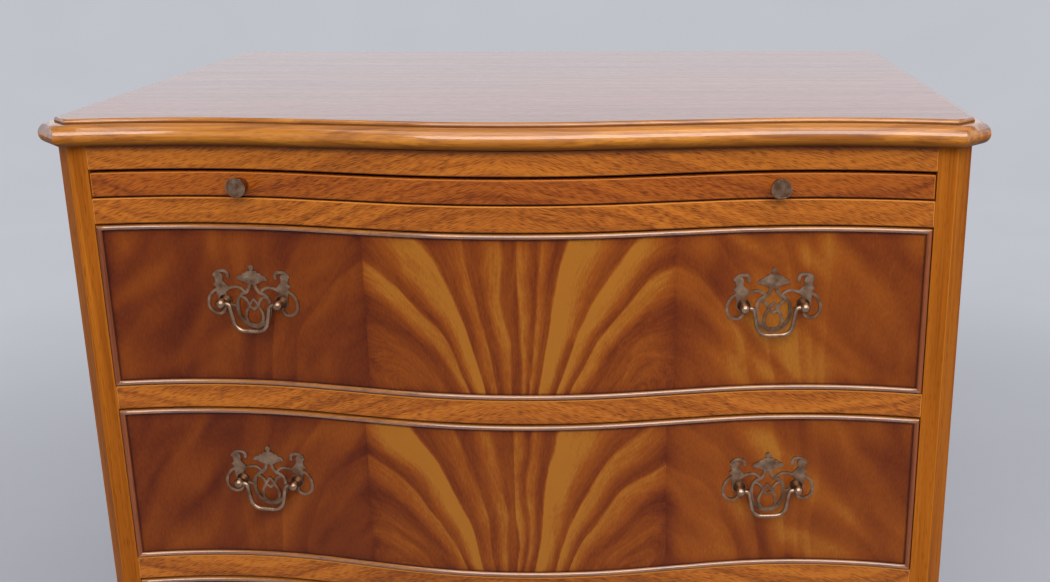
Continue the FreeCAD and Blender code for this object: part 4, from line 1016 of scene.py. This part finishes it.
def bail(number, side, tree):
    """One bail: a wire that swells towards its foot, with its pins in the balls."""
    sizes = bpy.context.scene.chest_sizes
    line = FrontLine(CARCASS_RISE)
    out = line.normal(HANDLE_X)
    across = Vector((-out.y, out.x, 0))
    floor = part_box(f"drawer_{number}_front")[0].z - FRONT_GAP
    middle = line.point(HANDLE_X, PIVOT_OUT) + UP * (floor + HANDLE_RISE)
    half = bail_path()
    route = half + [(-u, v) for u, v in reversed(half[:-1])]
    curve = bpy.data.curves.new(f"drawer_{number}_bail_wire_{side}", "CURVE")
    curve.dimensions = "3D"
    spline = curve.splines.new("POLY")
    spline.points.add(len(route) - 1)
    for point, (u, v) in zip(spline.points, route):
        place = middle + across * u + UP * v
        point.co = (place.x * SIDES[side], place.y, place.z, 1)
        swell = 1 + sizes.wire_swell * (v / -BAIL_DROP) ** 2
        point.radius = PIN_SHARE if abs(u) > POST_HALF - BALL_R - BAIL_SHOULDER / 2 else swell
    piece = linked(curve.name, curve)
    grown(piece, tree, {"Wire radius": sizes.wire_radius, "Finish": aged_metal("grip")})
    node = f"drawer_{number}_bail_{side}"
    settled(piece, node, node)


def tarnish_collars(posts):
    """Darkens the collars behind the balls, where no hand reaches."""
    line = FrontLine(CARCASS_RISE)
    grime = posts.data.attributes["grime"].data
    for polygon in posts.data.polygons:
        out = line.point(polygon.center.x).y - polygon.center.y
        if out < COLLAR_OUT:
            grime[polygon.index].value = 1.0


def back_nails(radius):
    """Two rows of nails in each back board, at the levels of what they are driven into."""
    low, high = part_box("back_boards")
    levels = [(under.z + over.z) / 2 for under, over in map(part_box, NAILED_TO)]
    width = (high.x - low.x) / BACK_BOARDS
    places = [(low.x + width * (index + share), high.y, level)
              for index in range(BACK_BOARDS) for share in NAIL_SHARES for level in levels]
    mesh = bpy.data.meshes.new("back_nails")
    mesh.from_pydata(places, [], [])
    piece = linked("back_nails", mesh)
    grown(piece, studs_tree(), {"Head radius": radius, "Finish": aged_metal("nail")})
    settled(piece, "carcass")


class CHEST_OT_top(bpy.types.Operator):
    """Moulded serpentine top with its polished field"""
    bl_idname = "chest.top"
    bl_label = "Top"

    def execute(self, context):
        top_board()
        return {"FINISHED"}


class CHEST_OT_carcass(bpy.types.Operator):
    """Sides, corner posts, serpentine rails and everything inside the carcass"""
    bl_idname = "chest.carcass"
    bl_label = "Carcass"

    def execute(self, context):
        sizes = context.scene.chest_sizes
        for side in SIDES:
            eased(f"side_{side}", sizes.board_arris, "side")
            eased(f"corner_post_{side}", sizes.board_arris, "post")
        for rail in RAILS:
            eased(rail, sizes.rail_arris, arched_wood("rail"))
        for node in ("bottom_board", "dustboards"):
            eased(node, sizes.board_arris, "pine")
        for node in ("drawer_runners", "slide_kickers", "drawer_stops"):
            eased(node, sizes.board_arris, "oak")
        return {"FINISHED"}


class CHEST_OT_back(bpy.types.Operator):
    """Upright pine back boards with the nails that hold them"""
    bl_idname = "chest.back"
    bl_label = "Back"

    def execute(self, context):
        sizes = context.scene.chest_sizes
        eased("back_boards", sizes.joint_arris, "pine", 0.0)
        back_nails(sizes.nail_radius)
        return {"FINISHED"}


class CHEST_OT_base(bpy.types.Operator):
    """Base moulding, bracket feet and their glue blocks"""
    bl_idname = "chest.base"
    bl_label = "Base and feet"

    def execute(self, context):
        sizes = context.scene.chest_sizes
        feet = [f"foot_{end}_{side}" for end in ("front", "rear") for side in SIDES]
        for node in ["base_moulding"] + feet:
            eased(node, sizes.board_arris, "base")
        eased("foot_blocks", sizes.board_arris, "pine")
        return {"FINISHED"}


class CHEST_OT_slide(bpy.types.Operator):
    """Brushing slide with its clamped ends, serpentine edge, pegs and turned knobs"""
    bl_idname = "chest.slide"
    bl_label = "Brushing slide"

    def execute(self, context):
        sizes = context.scene.chest_sizes
        eased("slide_lipping", sizes.rail_arris, arched_wood("lipping"))
        for node in ("slide_panel", "slide_clamps"):
            eased(node, sizes.board_arris / 2, "slide")
        eased("slide_pegs", sizes.board_arris, "oak")
        eased("slide_knobs", sizes.turned_arris, aged_metal("knob"))
        return {"FINISHED"}


class CHEST_OT_drawers(bpy.types.Operator):
    """Drawer fronts, their flame veneers, dovetailed linings and bottoms"""
    bl_idname = "chest.drawers"
    bl_label = "Drawers"

    def execute(self, context):
        sizes = context.scene.chest_sizes
        for number in DRAWERS:
            eased(f"drawer_{number}_front", 0, "side")
            for lining in ("box", "bottom"):
                eased(f"drawer_{number}_{lining}", sizes.board_arris / 2, "oak")
            veneer(number)
        return {"FINISHED"}


class CHEST_OT_beads(bpy.types.Operator):
    """Half-round cockbeads mitred round the drawer fronts"""
    bl_idname = "chest.beads"
    bl_label = "Cockbeads"

    def execute(self, context):
        for number in DRAWERS:
            cockbead(number)
        return {"FINISHED"}


class CHEST_OT_handles(bpy.types.Operator):
    """Pierced plates, ball-headed posts and swan-neck bails"""
    bl_idname = "chest.handles"
    bl_label = "Handles"

    def execute(self, context):
        sizes = context.scene.chest_sizes
        tree = wire_tree()
        for number in DRAWERS:
            eased(f"drawer_{number}_backplates", sizes.plate_arris, aged_metal("plate"))
            posts = eased(f"drawer_{number}_handle_posts", sizes.turned_arris, aged_metal("grip"))
            tarnish_collars(posts)
            for side in SIDES:
                bail(number, side, tree)
        return {"FINISHED"}


class CHEST_OT_stage(bpy.types.Operator):
    """Pale backdrop, soft light and the photograph's camera"""
    bl_idname = "chest.stage"
    bl_label = "Stage"

    def execute(self, context):
        stage = context.scene.chest_stage
        backdrop()
        room(stage)
        for name, (place, target, width, height) in LIGHTS.items():
            softbox(f"{name}_light", Vector(place), Vector(target), width, height, getattr(stage, name))
        camera(stage)
        context.scene.view_settings.view_transform = "Standard"
        return {"FINISHED"}


def backdrop():
    """One turned sheet: floor, cove and upright side all round."""
    floor_r = STAGE_R - STAGE_COVE_R
    profile = [(0.0, 0.0)] + [(r, 0.0) for r in spread(STAGE_FIRST_R, floor_r, STAGE_RINGS)]
    profile += arc((floor_r, STAGE_COVE_R), STAGE_COVE_R, -90, 0, STAGE_COVE_STEPS)[1:]
    profile.append((STAGE_R, STAGE_SIDE_H))
    shape = bmesh.new()
    line = [shape.verts.new((r, 0, z)) for r, z in profile]
    edges = [shape.edges.new(pair) for pair in zip(line, line[1:])]
    bmesh.ops.spin(shape, geom=line + edges, cent=(0, 0, 0), axis=UP, angle=2 * math.pi, steps=STAGE_STEPS,
                   use_merge=True)
    bmesh.ops.remove_doubles(shape, verts=shape.verts, dist=0.1 * MM)
    bmesh.ops.recalc_face_normals(shape, faces=shape.faces)
    outward = [f for f in shape.faces if f.normal.z < 0 or f.normal.dot(f.calc_center_median()) > 0.5]
    bmesh.ops.reverse_faces(shape, faces=outward)
    mesh = meshed("backdrop", shape)
    mesh.shade_smooth()
    mesh.materials.append(backdrop_paint())
    linked("backdrop", mesh)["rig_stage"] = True


def room(stage):
    """Even light of a pale room, brighter from the ceiling and from the right."""
    world = bpy.data.worlds.new("room")
    world.use_nodes = True
    bpy.context.scene.world = world
    tree = world.node_tree
    way = add(tree, "ShaderNodeTexCoord", out="Generated")
    across, _, up = add(tree, "ShaderNodeSeparateXYZ", way).node.outputs
    glow = add(tree, "ShaderNodeMapRange", up, CEILING_FROM, CEILING_AT, stage.sky, stage.ceiling,
               interpolation_type="SMOOTHSTEP")
    lean = add(tree, "ShaderNodeMapRange", across, -1.0, 1.0, ROOM_LEFT, ROOM_RIGHT)
    glow = add(tree, "ShaderNodeMath", glow, lean, operation="MULTIPLY")
    sky = tree.nodes["Background"]
    sky.inputs["Color"].default_value = linear(ROOM_WHITE)
    tree.links.new(glow, sky.inputs["Strength"])


def softbox(name, place, target, width, height, power):
    """A large soft light aimed at a point."""
    panel = bpy.data.lights.new(name, "AREA")
    panel.shape = "RECTANGLE"
    panel.size, panel.size_y, panel.energy = width, height, power
    light = linked(name, panel)
    aim = (target - place).to_track_quat("-Z", "Y").to_matrix().to_4x4()
    light.matrix_world = Matrix.Translation(place) @ aim
    light.visible_camera = False


def camera(stage):
    """Camera of the photograph, from its focal length, axis, place and turn."""
    yaw, pitch, roll = stage.turn
    ahead = Vector((-math.sin(yaw) * math.cos(pitch), math.cos(yaw) * math.cos(pitch), -math.sin(pitch)))
    right = Vector((math.cos(yaw), math.sin(yaw), 0))
    down = ahead.cross(right)
    level = math.cos(roll) * right - math.sin(roll) * down
    fall = math.sin(roll) * right + math.cos(roll) * down
    lens = bpy.data.cameras.new("photograph")
    lens.sensor_width = 36.0
    lens.lens = lens.sensor_width * stage.focal / PHOTO_W
    lens.shift_x = (PHOTO_W / 2 - stage.centre[0]) / PHOTO_W
    lens.shift_y = (stage.centre[1] - PHOTO_H / 2) / PHOTO_W
    lens.clip_start = 0.01
    viewer = linked("photograph", lens)
    turn = Matrix((level, -fall, -ahead)).transposed().to_4x4()
    viewer.matrix_world = Matrix.Translation(stage.place) @ turn
    bpy.context.scene.camera = viewer


STEPS = (CHEST_OT_top, CHEST_OT_carcass, CHEST_OT_back, CHEST_OT_base, CHEST_OT_slide, CHEST_OT_drawers,
         CHEST_OT_beads, CHEST_OT_handles, CHEST_OT_stage)
GROUPS = {"chest_sizes": ChestSizes, "chest_colours": ChestColours, "chest_stage": ChestStage}


class CHEST_PT_steps(bpy.types.Panel):
    """Steps, sizes and colours of the chest"""
    bl_label = "Serpentine chest"
    bl_space_type = "VIEW_3D"
    bl_region_type = "UI"
    bl_category = "Chest"

    def draw(self, context):
        for step in STEPS:
            self.layout.operator(step.bl_idname)
        for name, group in GROUPS.items():
            settings = getattr(context.scene, name)
            for key in group.__annotations__:
                self.layout.prop(settings, key)


def register():
    for group in GROUPS.values():
        bpy.utils.register_class(group)
    for step in STEPS + (CHEST_PT_steps,):
        bpy.utils.register_class(step)
    for name, group in GROUPS.items():
        setattr(bpy.types.Scene, name, PointerProperty(type=group))


def unregister():
    for name in GROUPS:
        delattr(bpy.types.Scene, name)
    for kind in (CHEST_PT_steps,) + STEPS[::-1] + tuple(GROUPS.values()):
        bpy.utils.unregister_class(kind)


def main():
    register()
    bpy.ops.chest.top()
    bpy.ops.chest.carcass()
    bpy.ops.chest.back()
    bpy.ops.chest.base()
    bpy.ops.chest.slide()
    bpy.ops.chest.drawers()
    bpy.ops.chest.beads()
    bpy.ops.chest.handles()
    bpy.ops.chest.stage()
    boxes = {"cad": CAD_BOX, "visual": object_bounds()}
    {name: [list(corner) for corner in box] for name, box in boxes.items()}


if __name__ == "__main__":
    main()
